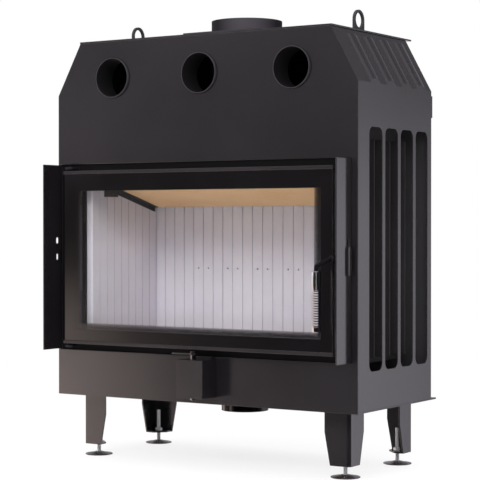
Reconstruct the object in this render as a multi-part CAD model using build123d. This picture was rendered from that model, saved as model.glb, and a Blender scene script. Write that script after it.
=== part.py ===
from build123d import *
from math import atan2, cos, degrees, hypot, pi, radians, sin, tan
import os

# A wood-burning fireplace insert: a lined steel firebox inside a slotted sheet-steel jacket,
# with a glazed door, an air lever, three hot-air collars, a flue collar and four screw feet.
#
# All sizes are in millimetres. The pieces are drawn in a bench frame: x to the right,
# y backwards from the outer face of the front plate, z upwards from the casing's lower edge.
# At the end everything is moved so that the origin is the middle of the footprint at floor level.

# Casing
casing_width = 880
casing_depth = 380
casing_height = 904
shoulder_drop = 135
slant_run = 72
front_sheet = 3
jacket_sheet = 2
plate_thickness = 4
back_overhang = 28
side_overhang = 2
edge_bend = 2.5

# Window in the front plate and the cheeks that line it; the hinge side has more room
window_margin_left = 6.5
window_margin_right = 16
window_bottom = 117.5
window_top = 590.5
window_clearance = 0.4
cheek_sheet = 3
cheek_reach = 71
cheek_flange_left = 4
cheek_flange_right = 12
cheek_hole_y = -16.5
eyelet_width = 10.5
eyelet_bottom = 388
eyelet_top = 405
slit_width = 8.5
slit_bottom = 346
slit_top = 363

# Raised plate on the outside of the right cheek
pad_plate_front = -23.5
pad_plate_back = -8.5
pad_plate_bottom = 320
pad_plate_top = 387
pad_plate_thickness = 5
pad_plate_corner = 4

# Side slots and the pressed ribs above them
slot_count = 4
slot_web = 14.5
slot_front_margin = 55.5
slot_back_margin = 21
slot_bottom = 94
slot_head = 103
slot_corner = 17
flute_side_gap = 4
flute_height = 5
flute_head_gap = 16

# Hot-air collars, flue and lifting eyes
duct_diameter = 100
duct_wall = 2
duct_rim = 6
duct_length = 66
duct_flange_width = 9
duct_spacing = 264
duct_drop = 96
flue_diameter = 180
flue_wall = 2.5
flue_from_back = 164
flue_rise = 50
plinth_side = 234
plinth_height = 17
eye_thickness = 6
eye_width = 50
eye_height = 56
eye_hole = 37
eye_hole_height = 31
eye_inset = 36
eye_from_back = 180

# Firebox
side_air_gap = 66
back_air_gap = 54
firebox_bottom = 104
duct_headroom = 54
firebox_sheet = 4
frame_sheet = 6
frame_gap = 0.2
frame_side_gap = 0.5
frame_lap_bottom = 18.5
frame_lap_top = 17.5
mouth_side_lap = 40
mouth_bottom_lap = 20
mouth_top_lap = 30

# Lining
lining_thickness = 30
lining_top = 563
lining_gap = 0.2
hearth_thickness = 30
hearth_front = 27
groove_pitch = 30.9
groove_width = 2.4
groove_depth = 2.5
air_hole = 5
air_hole_height = 322
air_hole_ribs = (0.5, 2.5, 3.5, 5.5, 6.5)
clip_sheet = 2.5
clip_front = 63
clip_width = 56
clip_drop = 54

# Baffle
baffle_thickness = 25
baffle_drop = 80
baffle_slope = 14.6
baffle_length = 196
rail_leg = 13
rail_sheet = 2
rail_clip_gap = 2
rail_back_gap = 8

# Fins on the firebox sides and the air-wash channel
fin_thickness = 3
fin_reach = 34
fin_count = 7
first_fin_y = 60
fin_back_gap = 26
fin_foot_gap = 16
fin_head_gap = 64
wash_head_gap = 23
wash_drop = 40
wash_reach = 28

# Combustion air
spigot_diameter = 120
spigot_wall = 1.5
spigot_from_back = 173
spigot_drop = 35
duct_box_width = 150
duct_box_height = 48
duct_box_back_gap = 99.8
air_box_width = 300
air_box_front = 12
slide_room = 3
box_sheet = 2
riser_width = 430
riser_depth = 20
riser_head_room = 23
slide_sheet = 2
slide_width = 128
slide_lap_front = 8
slide_lap_back = 10
slide_lift = 0.4
vent_front = 28
vent_depth = 56
port_width = 70
port_room_below = 12
port_room_above = 13

# Air lever, its cover and spindle
cover_width = 74
cover_depth = 60
cover_offset = 12
cover_bottom = 18
cover_gap = 12.5
cover_sheet = 2
spindle_setback = 16
spindle_radius = 4
running_gap = 0.05
lever_swing = 80
lever_length = 62
lever_width = 14
lever_thickness = 4
lever_gap = 7.5
crank_radius = 20
crank_sheet = 3
crank_lift = 6
crank_pin_radius = 3
crank_pin_play = 0.7
tongue_width = 22
spindle_nut_width = 13
spindle_nut_height = 4.5

# Door
door_side_gap = 26
door_bottom_gap = 16.5
door_top_gap = 16.5
door_front = 34
glass_thickness = 4
glass_side_margin = 2
gasket_thickness = 3
gasket_width = 20
door_frame_back = 4
door_border_side = 35
door_border_bottom = 38
door_border_top = 51
rail_web = 4
rail_lip = 9
rail_lip_sheet = 3
rail_bend = 2.2
rope_diameter = 10
rope_inset = 17
rope_groove_play = 0.3
rope_corner = 14

# Hinges
hinge_inset = 8
hinge_setback = 14
hinge_pin_radius = 4
hinge_pin_depth = 14
hinge_head_radius = 6.5
hinge_head = 2
washer_radius = 8
washer_thickness = 4
washer_gap = 0.3
bracket_thickness = 5
bracket_width = 26
bracket_reach = 31

# Handle and latch
handle_stand_off = 45
grip_diameter = 22
grip_inset = 20
grip_length = 140
grip_drop = 31
grip_plain_top = 42
grip_plain_bottom = 12
grip_bead_pitch = 5.7
grip_bead_depth = 1.1
arm_radius = 5
arm_rise = 11
arm_hub_radius = 9
arm_hub_stand_off = 24
arm_hub_length = 10
latch_outset = 8
latch_z = 362
latch_shaft_radius = 5
bearing_width = 17
bearing_height = 24
bearing_setback = 7
hook_gap = 0.5
hook_thickness = 4.5
hook_hub_radius = 7.2
hook_reach = 14
hook_height = 9
catch_gap = 1
catch_thickness = 4
catch_reach = 7.5
catch_width = 8

# Legs and screw feet
leg_sheet = 4
leg_bend = 9
leg_inset_x = 46
leg_front_y = 47
leg_back_inset = 12
leg_front_leaf = 69
leg_side_leaf = 68
leg_straight = 52
leg_height = 131
leg_front_foot = 54
leg_side_foot = 48
leg_flange = 60
leg_flange_sheet = 4
foot_plate_x = 52
foot_plate_y = 50
foot_plate_sheet = 4
foot_axis_inset = 27.5
foot_bolt_radius = 5
foot_bolt_top = 70
foot_nut_width = 17
foot_nut_height = 8
pad_diameter = 71
pad_edge = 2.5
pad_rise = 5
pad_hub_radius = 10
floor_drop = 160
leg_bolt_radius = 4
leg_bolt_head = 13
leg_bolt_head_height = 5
leg_bolt_offset = 44

# Rear tabs
tab_height = 54
tab_head = 12
tab_width = 14
tab_reach = 6
tab_sheet = 2

weld_gap = 0.1

# Worked-out places
half_width = casing_width / 2
half_roof = half_width - slant_run
shoulder_height = casing_height - shoulder_drop
wall_top = casing_height - plate_thickness
jacket_back = casing_depth - jacket_sheet
plate_depth = casing_depth + back_overhang
window_left = half_width - window_margin_left
window_right = half_width - window_margin_right
slot_top = shoulder_height - slot_head
slot_row = casing_depth - slot_front_margin - slot_back_margin
slot_pitch = (slot_row + slot_web) / slot_count
slot_width = slot_pitch - slot_web
first_slot_y = slot_front_margin + slot_width / 2
flute_width = slot_width - 2 * flute_side_gap
duct_height = casing_height - duct_drop
flue_y = casing_depth - flue_from_back
eye_x = half_roof - eye_inset
eye_y = casing_depth - eye_from_back
firebox_width = casing_width - 2 * side_air_gap
firebox_depth = casing_depth - back_air_gap
firebox_top = duct_height - duct_diameter / 2 - duct_headroom
frame_bottom = window_bottom - frame_lap_bottom
frame_top = window_top + frame_lap_top
frame_front = front_sheet + frame_gap
shell_front = frame_front + frame_sheet
shell_inside = firebox_width / 2 - firebox_sheet
shell_back_face = firebox_depth - firebox_sheet
shell_floor = firebox_bottom + firebox_sheet
shell_roof = firebox_top - firebox_sheet
lining_face = shell_inside - lining_thickness
lining_back_face = shell_back_face - lining_thickness
hearth_top = shell_floor + hearth_thickness
baffle_back_height = lining_top - baffle_drop
rail_start = clip_front + clip_width + rail_clip_gap
rail_end = lining_back_face - rail_back_gap
fin_pitch = (firebox_depth - fin_back_gap - first_fin_y) / (fin_count - 1)
fin_bottom = firebox_bottom + fin_foot_gap
fin_top = firebox_top - fin_head_gap
wash_top = frame_top - wash_head_gap
slant_rise = wall_top - shoulder_height
slant_length = hypot(slant_run, slant_rise)
flue_radius = flue_diameter / 2
duct_radius = duct_diameter / 2
spigot_radius = spigot_diameter / 2
spigot_y = casing_depth - spigot_from_back
duct_box_top = plate_thickness + duct_box_height
duct_box_back = casing_depth - duct_box_back_gap
air_box_bottom = duct_box_top + slide_room
riser_top = air_hole_height + riser_head_room
slide_front = vent_front - slide_lap_front
slide_depth = vent_depth + slide_lap_front + slide_lap_back
crank_bottom = duct_box_top + crank_lift
port_bottom = duct_box_top - port_room_below
port_top = crank_bottom + crank_sheet + port_room_above
half_door = window_right - cheek_sheet - door_side_gap
door_width = 2 * half_door
door_bottom = window_bottom + door_bottom_gap
door_top = window_top - door_top_gap
door_opening_width = door_width - 2 * door_border_side
door_opening_bottom = door_bottom + door_border_bottom
door_opening_top = door_top - door_border_top
mouth_width = door_width - 2 * mouth_side_lap
mouth_bottom = door_bottom + mouth_bottom_lap
mouth_top = door_top - mouth_top_lap
lever_bottom = door_bottom - lever_gap - lever_thickness
cover_top = lever_bottom - cover_gap
spindle_y = spindle_setback - cover_depth
glass_front = -door_front
glass_back = glass_front + glass_thickness
frame_face = glass_back + gasket_thickness
rope_radius = rope_diameter / 2
crank_rest = 90 - lever_swing / 2
slide_travel = 2 * crank_radius * cos(radians(crank_rest))
vent_pitch = 2 * slide_travel
vent_width = slide_travel - 2
hinge_x = hinge_inset - half_door
hinge_y = glass_front + hinge_setback
latch_x = half_door + latch_outset
grip_x = half_door - grip_inset
grip_top = latch_z - grip_drop
grip_bottom = grip_top - grip_length
grip_y = glass_front - handle_stand_off
arm_hub_front = door_front + arm_hub_stand_off
leg_back_y = casing_depth - leg_back_inset
tab_top = shoulder_height - tab_head
tab_bottom = tab_top - tab_height
grip_radius = grip_diameter / 2
front_reach = grip_radius - grip_y
footprint_middle = (plate_depth - front_reach) / 2


def block(x0, x1, y0, y1, z0, z1):
    """A box between two corners."""
    return Pos((x0 + x1) / 2, (y0 + y1) / 2, (z0 + z1) / 2) * Box(x1 - x0, y1 - y0, z1 - z0)


def along_y(face, y0, y1):
    """A face drawn as (x, z), given the thickness from y0 to y1."""
    return extrude(Plane.XZ.offset(-y1) * face, y1 - y0)


def along_x(face, x0, x1):
    """A face drawn as (y, z), given the thickness from x0 to x1."""
    return extrude(Plane.YZ.offset(x0) * face, x1 - x0)


def along_z(face, z0, z1):
    """A face drawn as (x, y), given the thickness from z0 to z1."""
    return extrude(Plane.XY.offset(z0) * face, z1 - z0)


def outline(*points):
    """A flat face with straight edges through the points."""
    return make_face(Polyline(*points, close=True))


def panel(x0, x1, z0, z1):
    """A rectangle with the given lower and upper corners."""
    return Pos((x0 + x1) / 2, (z0 + z1) / 2) * Rectangle(x1 - x0, z1 - z0)


def rod(x, y, z0, z1, radius):
    """An upright round bar."""
    return along_z(Pos(x, y) * Circle(radius), z0, z1)


def hexagon_bar(x, y, z0, z1, width):
    """An upright hexagonal bar, measured across its flats."""
    return along_z(Pos(x, y) * RegularPolygon(width / 2, 6, major_radius=False), z0, z1)


def mirrored(solid):
    """The same piece on the other side of the middle plane."""
    return mirror(solid, about=Plane.YZ)


def casing_outline(inset):
    """The casing seen from the front, drawn in by the inset but with the same foot and head."""
    outward_x = slant_rise / slant_length
    outward_z = slant_run / slant_length
    fold = shoulder_height - inset * (1 - outward_x) / outward_z
    head = half_roof - inset / outward_x
    side = half_width - inset
    return outline((-side, 0), (side, 0), (side, fold), (head, wall_top),
                   (-head, wall_top), (-side, fold))


# ---------------------------------------------------------------- casing


def front_plate():
    """The front: one plate with the door window, three duct holes and the air port."""
    face = casing_outline(0) - panel(-window_left - window_clearance,
                                     window_right + window_clearance, window_bottom, window_top)
    for x in (-duct_spacing, 0, duct_spacing):
        face -= Pos(x, duct_height) * Circle(duct_radius + weld_gap)
    face -= panel(cover_offset - port_width / 2, cover_offset + port_width / 2, port_bottom, port_top)
    plate = along_y(face, 0, front_sheet)
    lips = [edge for edge in plate.edges().filter_by(Axis.X)
            if abs(edge.center().Y) < 0.01 and edge.length > window_right]
    lips = [edge for edge in lips if window_bottom - 1 < edge.center().Z < window_top + 1]
    return fillet(lips, edge_bend)


def slanted_flute(y, inset, root):
    """A rib up the slanted side, cut off flush with the wall below; the inset draws its hollow."""
    place = Plane(origin=(half_width, y, shoulder_height), x_dir=(0, -1, 0),
                  z_dir=(-slant_run, 0, slant_rise))
    half = flute_width / 2 - inset
    arc = ThreePointArc((-half, root), (0, flute_height - inset), (half, root))
    section = place * make_face(arc + Line((half, root), (-half, root)))
    rib = extrude(section, slant_length - flute_head_gap - inset)
    return rib & block(0, half_width - inset, 0, casing_depth, 0, casing_height)


def side_panel():
    """The right-hand jacket side: slotted below, folded in and ribbed above."""
    ring = casing_outline(0) - casing_outline(jacket_sheet)
    walls = along_y(ring, front_sheet, casing_depth)
    wall = walls & block(0, casing_width, 0, casing_depth, plate_thickness, casing_height)
    middle = (slot_bottom + slot_top) / 2
    for index in range(slot_count):
        y = first_slot_y + index * slot_pitch
        slot = Pos(y, middle) * RectangleRounded(slot_width, slot_top - slot_bottom, slot_corner)
        wall -= along_x(slot, half_width - 2 * jacket_sheet, half_width + 1)
        wall += slanted_flute(y, 0, -jacket_sheet / 2)
        wall -= slanted_flute(y, jacket_sheet, -1.5 * jacket_sheet)
    return wall


def back_panel():
    """The flat back of the jacket."""
    sheet = along_y(casing_outline(jacket_sheet), jacket_back, casing_depth)
    return sheet - block(-half_width, half_width, 0, casing_depth + 1, -1, plate_thickness)


def roof_plate():
    """The thick roof, which stands out a little at the sides and more at the back."""
    reach = half_roof + side_overhang
    plate = block(-reach, reach, 0, plate_depth, wall_top, casing_height)
    return plate - rod(0, flue_y, wall_top - 1, casing_height + 1, flue_radius + front_sheet)


def base_plate():
    """The thick base, standing out at the back, with a hole for the air spigot."""
    plate = block(-half_width, half_width, front_sheet, plate_depth, 0, plate_thickness)
    plate -= rod(0, spigot_y, -1, plate_thickness + 1, spigot_radius - spigot_wall)
    for x, y in leg_bolt_places():
        plate -= rod(x, y, -1, plate_thickness + 1, leg_bolt_radius + weld_gap)
    return plate


def rear_tabs():
    """Two small angle tabs on the rear edges of the jacket."""
    tabs = []
    for side in (-1, 1):
        outer = side * half_width
        inner = side * (half_width - tab_width)
        foot = block(min(outer, inner), max(outer, inner), casing_depth,
                     casing_depth + tab_sheet, tab_bottom, tab_top)
        inner = side * (half_width - tab_sheet)
        leaf = block(min(outer, inner), max(outer, inner), casing_depth,
                     casing_depth + tab_reach, tab_bottom, tab_top)
        tabs.append(foot + leaf)
    return Compound(children=tabs)


def side_cheek(outer_face, flange_width):
    """A cheek drawn on the right: a leaf that stands forward, with two holes, and a flange."""
    inner = outer_face - cheek_sheet
    low = window_bottom + window_clearance
    high = window_top - window_clearance
    back = front_sheet + cheek_sheet
    cheek = block(inner, outer_face, -cheek_reach, back, low, high)
    cheek += block(outer_face, outer_face + flange_width, front_sheet, back, low, high)
    for width, bottom, top in ((eyelet_width, eyelet_bottom, eyelet_top),
                               (slit_width, slit_bottom, slit_top)):
        hole = Pos(cheek_hole_y, (bottom + top) / 2) * SlotOverall(top - bottom, width, rotation=90)
        cheek -= along_x(hole, inner - 1, outer_face + 1)
    return cheek


def cheek_pad():
    """The thick plate on the outside of the right cheek, over its lower hole."""
    face = panel(pad_plate_front, pad_plate_back, pad_plate_bottom, pad_plate_top)
    face = chamfer(face.vertices().sort_by(Axis.Y)[2:], pad_plate_corner)
    return along_x(face, window_right, window_right + pad_plate_thickness)


# ---------------------------------------------------------------- collars and eyes


def hot_air_collar(x):
    """A short round duct stub with a flange behind the front plate."""
    radius = duct_radius
    tube = Circle(radius) - Circle(radius - duct_wall)
    ring = Circle(radius + duct_flange_width) - Circle(radius - duct_wall)
    place = Pos(x, duct_height)
    stub = along_y(place * tube, -duct_rim, duct_length - duct_rim)
    return stub + along_y(place * ring, front_sheet, front_sheet + jacket_sheet)


def flue_plinth():
    """The square folded cap on the roof that carries the flue collar."""
    half = plinth_side / 2
    top = casing_height + plinth_height
    cap = block(-half, half, flue_y - half, flue_y + half, casing_height, top)
    inside = half - jacket_sheet
    cap -= block(-inside, inside, flue_y - inside, flue_y + inside,
                 casing_height - 1, top - jacket_sheet)
    return cap - rod(0, flue_y, casing_height, top + 1, flue_radius - flue_wall)


def flue_tube(z0, z1):
    """A length of the round flue."""
    ring = Circle(flue_radius) - Circle(flue_radius - flue_wall)
    return along_z(Pos(0, flue_y) * ring, z0, z1)


def lifting_eyes():
    """The two lifting eyes: upright lugs with a round head and hole."""
    radius = eye_width / 2
    low = casing_height
    head = low + eye_height - radius
    face = panel(eye_y - radius, eye_y + radius, low, head)
    face += Pos(eye_y, head) * Circle(radius)
    face -= Pos(eye_y, low + eye_hole_height) * Circle(eye_hole / 2)
    eye = along_x(face, eye_x - eye_thickness / 2, eye_x + eye_thickness / 2)
    return Compound(children=[eye, mirrored(eye)])


# ---------------------------------------------------------------- firebox


def firebox_shell():
    """The welded firebox: floor, sides, back, roof and the strip above the mouth."""
    half = firebox_width / 2
    shell = block(-half, half, shell_front, firebox_depth, firebox_bottom, firebox_top)
    shell -= block(-shell_inside, shell_inside, shell_front + firebox_sheet,
                   shell_back_face, shell_floor, shell_roof)
    shell -= block(-shell_inside, shell_inside, shell_front - 1,
                   shell_front + firebox_sheet + 1, shell_floor, frame_top - frame_sheet)
    shell -= rod(0, flue_y, shell_roof - 1, firebox_top + 1, flue_radius - flue_wall)
    port = air_box_width / 2 - 5 * box_sheet
    shell -= block(-port, port, air_box_front + 2 * box_sheet, hearth_front - 2,
                   firebox_bottom - 1, shell_floor + 1)
    return shell - back_air_holes()


def back_air_holes():
    """The row of small air holes through the back lining and the steel behind it."""
    holes = []
    for rib in air_hole_ribs:
        for side in (-1, 1):
            spot = Pos(side * rib * groove_pitch, air_hole_height) * Circle(air_hole / 2)
            holes.append(along_y(spot, lining_back_face - 1, firebox_depth + 1))
    return Part() + holes


def firebox_frame():
    """The flat steel frame around the mouth, which the door closes against."""
    face = panel(cheek_sheet + frame_side_gap - window_left,
                 window_right - cheek_sheet - frame_side_gap, frame_bottom, frame_top)
    face -= panel(-mouth_width / 2, mouth_width / 2, mouth_bottom, mouth_top)
    return along_y(face, frame_front, shell_front)


def side_fins():
    """Upright fins that pass the firebox heat to the air in the jacket."""
    fins = []
    for side in (-1, 1):
        root = side * firebox_width / 2
        tip = side * (firebox_width / 2 + fin_reach)
        for index in range(fin_count):
            y = first_fin_y + index * fin_pitch
            fins.append(block(min(root, tip), max(root, tip), y - fin_thickness / 2,
                              y + fin_thickness / 2, fin_bottom, fin_top))
    return Compound(children=fins)


def groove_row(count):
    """Groove middles, measured from the row's own start, one pitch apart."""
    return [index * groove_pitch for index in range(count)]


def lining_back():
    """The grooved back lining, with a groove on the middle line and a row of air holes."""
    half = shell_inside - lining_gap
    board = block(-half, half, lining_back_face, shell_back_face - lining_gap / 2,
                  hearth_top, lining_top)
    for offset in groove_row(int(lining_face / groove_pitch) + 1):
        for x in (offset, -offset):
            board -= block(x - groove_width / 2, x + groove_width / 2, lining_back_face - 1,
                           lining_back_face + groove_depth, hearth_top - 1, lining_top + 1)
            if offset == 0:
                break
    return board - back_air_holes()


def lining_side():
    """The grooved lining of the right-hand firebox wall."""
    front = shell_front + firebox_sheet
    back = lining_back_face - lining_gap
    board = block(lining_face, shell_inside - lining_gap, front, back, hearth_top, lining_top)
    for offset in groove_row(int((back - front) / groove_pitch) + 1)[1:]:
        y = back - offset
        board -= block(lining_face - 1, lining_face + groove_depth, y - groove_width / 2,
                       y + groove_width / 2, hearth_top - 1, lining_top + 1)
    return board


def hearth_slab():
    """The flat floor of the firebox."""
    half = shell_inside - lining_gap
    return block(-half, half, hearth_front, shell_back_face - lining_gap, shell_floor, hearth_top)


def lining_clips():
    """Two bent clips that hold the side linings at their top edges."""
    clips = []
    back = clip_front + clip_width
    leaf = block(lining_face - clip_sheet, lining_face, clip_front, back,
                 lining_top - clip_drop, lining_top + clip_sheet)
    leg = block(lining_face - clip_sheet, shell_inside, clip_front, back,
                lining_top, lining_top + clip_sheet)
    clips.append(leaf + leg)
    clips.append(mirrored(leaf + leg))
    return Compound(children=clips)


def baffle_height(y):
    """Height of the baffle's lower face at a given depth."""
    return baffle_back_height + (lining_back_face - y) * tan(radians(baffle_slope))


def baffle():
    """The loose sloping board that turns the smoke forward before it rises."""
    lean = radians(baffle_slope)
    back = lining_back_face - 2 * lining_gap - baffle_thickness * sin(lean)
    low_back = (back, baffle_height(back))
    low_front = (back - baffle_length * cos(lean),
                 low_back[1] + baffle_length * sin(lean))
    rise = (baffle_thickness * sin(lean), baffle_thickness * cos(lean))
    board = outline(low_back, low_front, (low_front[0] + rise[0], low_front[1] + rise[1]),
                    (low_back[0] + rise[0], low_back[1] + rise[1]))
    half = lining_face - clip_sheet - lining_gap
    return along_x(board, -half, half)


def baffle_rails():
    """Two angle rails on the side linings, under the edges of the baffle."""
    ledge = outline((rail_start, baffle_height(rail_start)), (rail_end, baffle_height(rail_end)),
                    (rail_end, baffle_height(rail_end) - rail_sheet),
                    (rail_start, baffle_height(rail_start) - rail_sheet))
    leaf = outline((rail_start, baffle_height(rail_start)), (rail_end, baffle_height(rail_end)),
                   (rail_end, baffle_height(rail_end) - rail_leg),
                   (rail_start, baffle_height(rail_start) - rail_leg))
    rail = along_x(ledge, lining_face - rail_leg, lining_face)
    rail += along_x(leaf, lining_face - rail_sheet, lining_face)
    return Compound(children=[rail, mirrored(rail)])


def air_wash_channel():
    """The bent strip above the mouth that sends air down the inside of the glass."""
    half = lining_face - 2
    leg = block(-half, half, shell_front, shell_front + wash_reach,
                wash_top - box_sheet, wash_top)
    drop = block(-half, half, shell_front + wash_reach - box_sheet, shell_front + wash_reach,
                 wash_top - wash_drop, wash_top)
    return leg + drop


# ---------------------------------------------------------------- combustion air


def air_inlet_spigot():
    """The round stub under the base for an outside-air pipe."""
    ring = Circle(spigot_radius) - Circle(spigot_radius - spigot_wall)
    return along_z(Pos(0, spigot_y) * ring, -spigot_drop, 0)


def vents(z0, z1):
    """A pair of openings that the air slide frees at rest and covers at the end of its travel."""
    pair = []
    for x in (cover_offset - vent_pitch / 2, cover_offset + vent_pitch / 2):
        pair.append(block(x - vent_width / 2, x + vent_width / 2,
                          vent_front, vent_front + vent_depth, z0, z1))
    return Part() + pair


def inlet_duct():
    """The low duct from the spigot to the front, with the vents in its lid."""
    half = duct_box_width / 2
    front = frame_front
    low = plate_thickness
    high = duct_box_top
    box = block(-half, half, front, duct_box_back, low, high)
    box -= block(-half + box_sheet, half - box_sheet, front - 1,
                 duct_box_back - box_sheet, low + box_sheet, high - box_sheet)
    box -= rod(0, spigot_y, low - 1, low + box_sheet + 1, spigot_radius - spigot_wall)
    return box - vents(high - box_sheet - 1, high + 1)


def air_box():
    """The flat box under the firebox floor that shares the air out."""
    half = air_box_width / 2
    back = firebox_depth + riser_depth
    box = block(-half, half, air_box_front, back, air_box_bottom, firebox_bottom)
    box -= block(-half + box_sheet, half - box_sheet, air_box_front + box_sheet,
                 back - box_sheet, air_box_bottom + box_sheet, firebox_bottom + 1)
    return box - vents(air_box_bottom - 1, air_box_bottom + box_sheet + 1)


def rear_air_channel():
    """The flat riser behind the firebox that feeds the row of air holes."""
    half = riser_width / 2
    back = firebox_depth + riser_depth
    riser = block(-half, half, firebox_depth, back, firebox_bottom, riser_top)
    return riser - block(-half + box_sheet, half - box_sheet, firebox_depth - 1,
                         back - box_sheet, firebox_bottom - 1, riser_top - box_sheet)


def crank_pin_place():
    """Where the crank pin stands when the lever is tucked away to the left."""
    turn = radians(crank_rest)
    return cover_offset + crank_radius * cos(turn), spindle_y + crank_radius * sin(turn)


def air_slide():
    """The plate that slides across between the two rows of vents, with a slotted tongue."""
    pin_x, pin_y = crank_pin_place()
    low = duct_box_top + slide_lift
    tip = pin_y - 2 * crank_pin_radius
    far_y = spindle_y + crank_radius
    face = Pos(pin_x, slide_front + slide_depth / 2) * Rectangle(slide_width, slide_depth)
    face += Pos(pin_x, (tip + slide_front) / 2) * Rectangle(tongue_width, slide_front - tip)
    face -= Pos(pin_x, (pin_y + far_y) / 2) * SlotCenterToCenter(
        far_y - pin_y, 2 * (crank_pin_radius + crank_pin_play), rotation=90)
    return along_z(face, low, low + slide_sheet) - vents(low - 1, low + slide_sheet + 1)


def control_cover():
    """The shallow box on the lower front that covers and bears the spindle."""
    half = cover_width / 2
    left = cover_offset - half
    right = cover_offset + half
    box = block(left, right, -cover_depth, 0, cover_bottom, cover_top)
    box -= block(left + cover_sheet, right - cover_sheet, -cover_depth + cover_sheet, 1,
                 cover_bottom + cover_sheet, cover_top - cover_sheet)
    return box - rod(cover_offset, spindle_y, cover_bottom - 1, cover_top + 1,
                     spindle_radius + running_gap)


def air_spindle():
    """The upright spindle with its shoulder, crank arm and crank pin."""
    pin_x, pin_y = crank_pin_place()
    foot = cover_bottom - spindle_nut_height - 2
    head = lever_bottom + lever_thickness + spindle_nut_height
    spindle = rod(cover_offset, spindle_y, foot, head, spindle_radius)
    spindle += rod(cover_offset, spindle_y, cover_top + 0.3, lever_bottom, spindle_radius + 2.5)
    arm = Pos(cover_offset, spindle_y) * Circle(spindle_radius + 3)
    arm += Pos(pin_x, pin_y) * Circle(crank_pin_radius + 2)
    arm += Pos((pin_x + cover_offset) / 2, (pin_y + spindle_y) / 2) * Rot(0, 0, crank_rest) * Rectangle(
        crank_radius, 2 * crank_pin_radius)
    spindle += along_z(arm, crank_bottom, crank_bottom + crank_sheet)
    lowest = duct_box_top - 2
    return spindle + rod(pin_x, pin_y, lowest, crank_bottom + crank_sheet, crank_pin_radius)


def air_lever():
    """The short flat lever under the door, tucked away to the left."""
    reach = lever_length - lever_width / 2
    face = Pos(cover_offset, spindle_y) * Circle(lever_width / 2 + 2)
    face += Pos(cover_offset - reach / 2, spindle_y) * Rectangle(reach, lever_width)
    face += Pos(cover_offset - reach, spindle_y) * Circle(lever_width / 2)
    face -= Pos(cover_offset, spindle_y) * Circle(spindle_radius + weld_gap / 2)
    lever = along_z(face, lever_bottom, lever_bottom + lever_thickness)
    return fillet(lever.edges().filter_by(GeomType.CIRCLE).sort_by(Axis.X)[:2], 1.2)


def spindle_nuts():
    """The nut that clamps the lever and the nut under the cover."""
    nuts = []
    top = lever_bottom + lever_thickness
    for low in (top, cover_bottom - spindle_nut_height - 0.3):
        nut = hexagon_bar(cover_offset, spindle_y, low, low + spindle_nut_height, spindle_nut_width)
        nuts.append(nut - rod(cover_offset, spindle_y, low - 1, low + spindle_nut_height + 1,
                              spindle_radius + weld_gap / 2))
    return Compound(children=nuts)


# ---------------------------------------------------------------- door


def door_glass():
    """The ceramic glass that covers the whole front of the door."""
    half = half_door - glass_side_margin
    low = door_bottom + rail_web + 0.5
    high = door_top - rail_web - 0.5
    glass = along_y(panel(-half, half, low, high), glass_front, glass_back)
    return chamfer(glass.faces().sort_by(Axis.Y)[0].edges(), 0.8)


def door_frame():
    """The steel frame behind the glass, grooved at the back for the rope seal."""
    low = door_bottom + rail_web
    high = door_top - rail_web
    face = panel(-half_door, half_door, low, high)
    face -= panel(-door_opening_width / 2, door_opening_width / 2,
                  door_opening_bottom, door_opening_top)
    frame = along_y(face, frame_face, -door_frame_back)
    groove = rope_radius + rope_groove_play
    width, height = rope_track()
    middle = (door_bottom + door_top) / 2
    track = RectangleRounded(width + 2 * groove, height + 2 * groove, rope_corner + groove)
    track -= RectangleRounded(width - 2 * groove, height - 2 * groove, rope_corner - groove)
    depth = rope_middle() - rope_radius - weld_gap
    frame -= along_y(Pos(0, middle) * track, depth, 0)
    for low_end, high_end in hinge_pin_reaches():
        frame -= rod(hinge_x, hinge_y, low_end, high_end, hinge_pin_radius + running_gap)
    return frame


def rope_track():
    """Width and height of the rope seal's middle line."""
    return door_width - 2 * rope_inset, door_top - door_bottom - 2 * rope_inset


def rope_middle():
    """Depth of the rope seal's middle line, just clear of the firebox frame."""
    return frame_front - 0.4 - rope_radius


def door_seal():
    """The rope seal: a closed loop in the door frame's groove."""
    width, height = rope_track()
    middle = (door_bottom + door_top) / 2
    plane = Plane.XZ.offset(-rope_middle())
    path = (plane * Pos(0, middle) * RectangleRounded(width, height, rope_corner)).wire()
    start = Plane(origin=(0, rope_middle(), door_bottom + rope_inset),
                  x_dir=(0, 1, 0), z_dir=(1, 0, 0))
    return sweep(start * Circle(rope_radius), path)


def glass_gasket():
    """The flat woven gasket between the glass and the frame."""
    outer = half_door - glass_side_margin - 3
    inner = outer - gasket_width
    low = door_bottom + rail_web + 4
    high = door_top - rail_web - 4
    face = panel(-outer, outer, low, high)
    face -= panel(-inner, inner, low + gasket_width, high - gasket_width)
    return along_y(face, glass_back, frame_face)


def door_rails():
    """The two rails that hold the glass at its top and bottom edges."""
    lip_front = glass_front - rail_lip_sheet
    profile = outline((lip_front, door_top), (-door_frame_back, door_top),
                      (-door_frame_back, door_top - rail_web),
                      (glass_front - weld_gap, door_top - rail_web),
                      (glass_front - weld_gap, door_top - rail_lip),
                      (lip_front, door_top - rail_lip))
    rail = along_x(profile, -half_door, half_door)
    front = [edge for edge in rail.edges().filter_by(Axis.X)
             if abs(edge.center().Y - lip_front) < 0.01]
    top = fillet(front, min(rail_bend, rail_lip_sheet / 2 - 0.1))
    bottom = mirror(top, about=Plane.XY.offset((door_bottom + door_top) / 2))
    rails = []
    for rail in (top, bottom):
        for low_end, high_end in hinge_pin_reaches():
            rail -= rod(hinge_x, hinge_y, low_end, high_end, hinge_pin_radius + running_gap)
        rails.append(rail)
    return Compound(children=rails)


# ---------------------------------------------------------------- hinges


def hinge_pin_reaches():
    """Lower and upper end of the bottom pin's and the top pin's bore in the door."""
    bore = rail_web + hinge_pin_depth + 1
    return ((door_bottom - 1, door_bottom + bore), (door_top - bore, door_top + 1))


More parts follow.
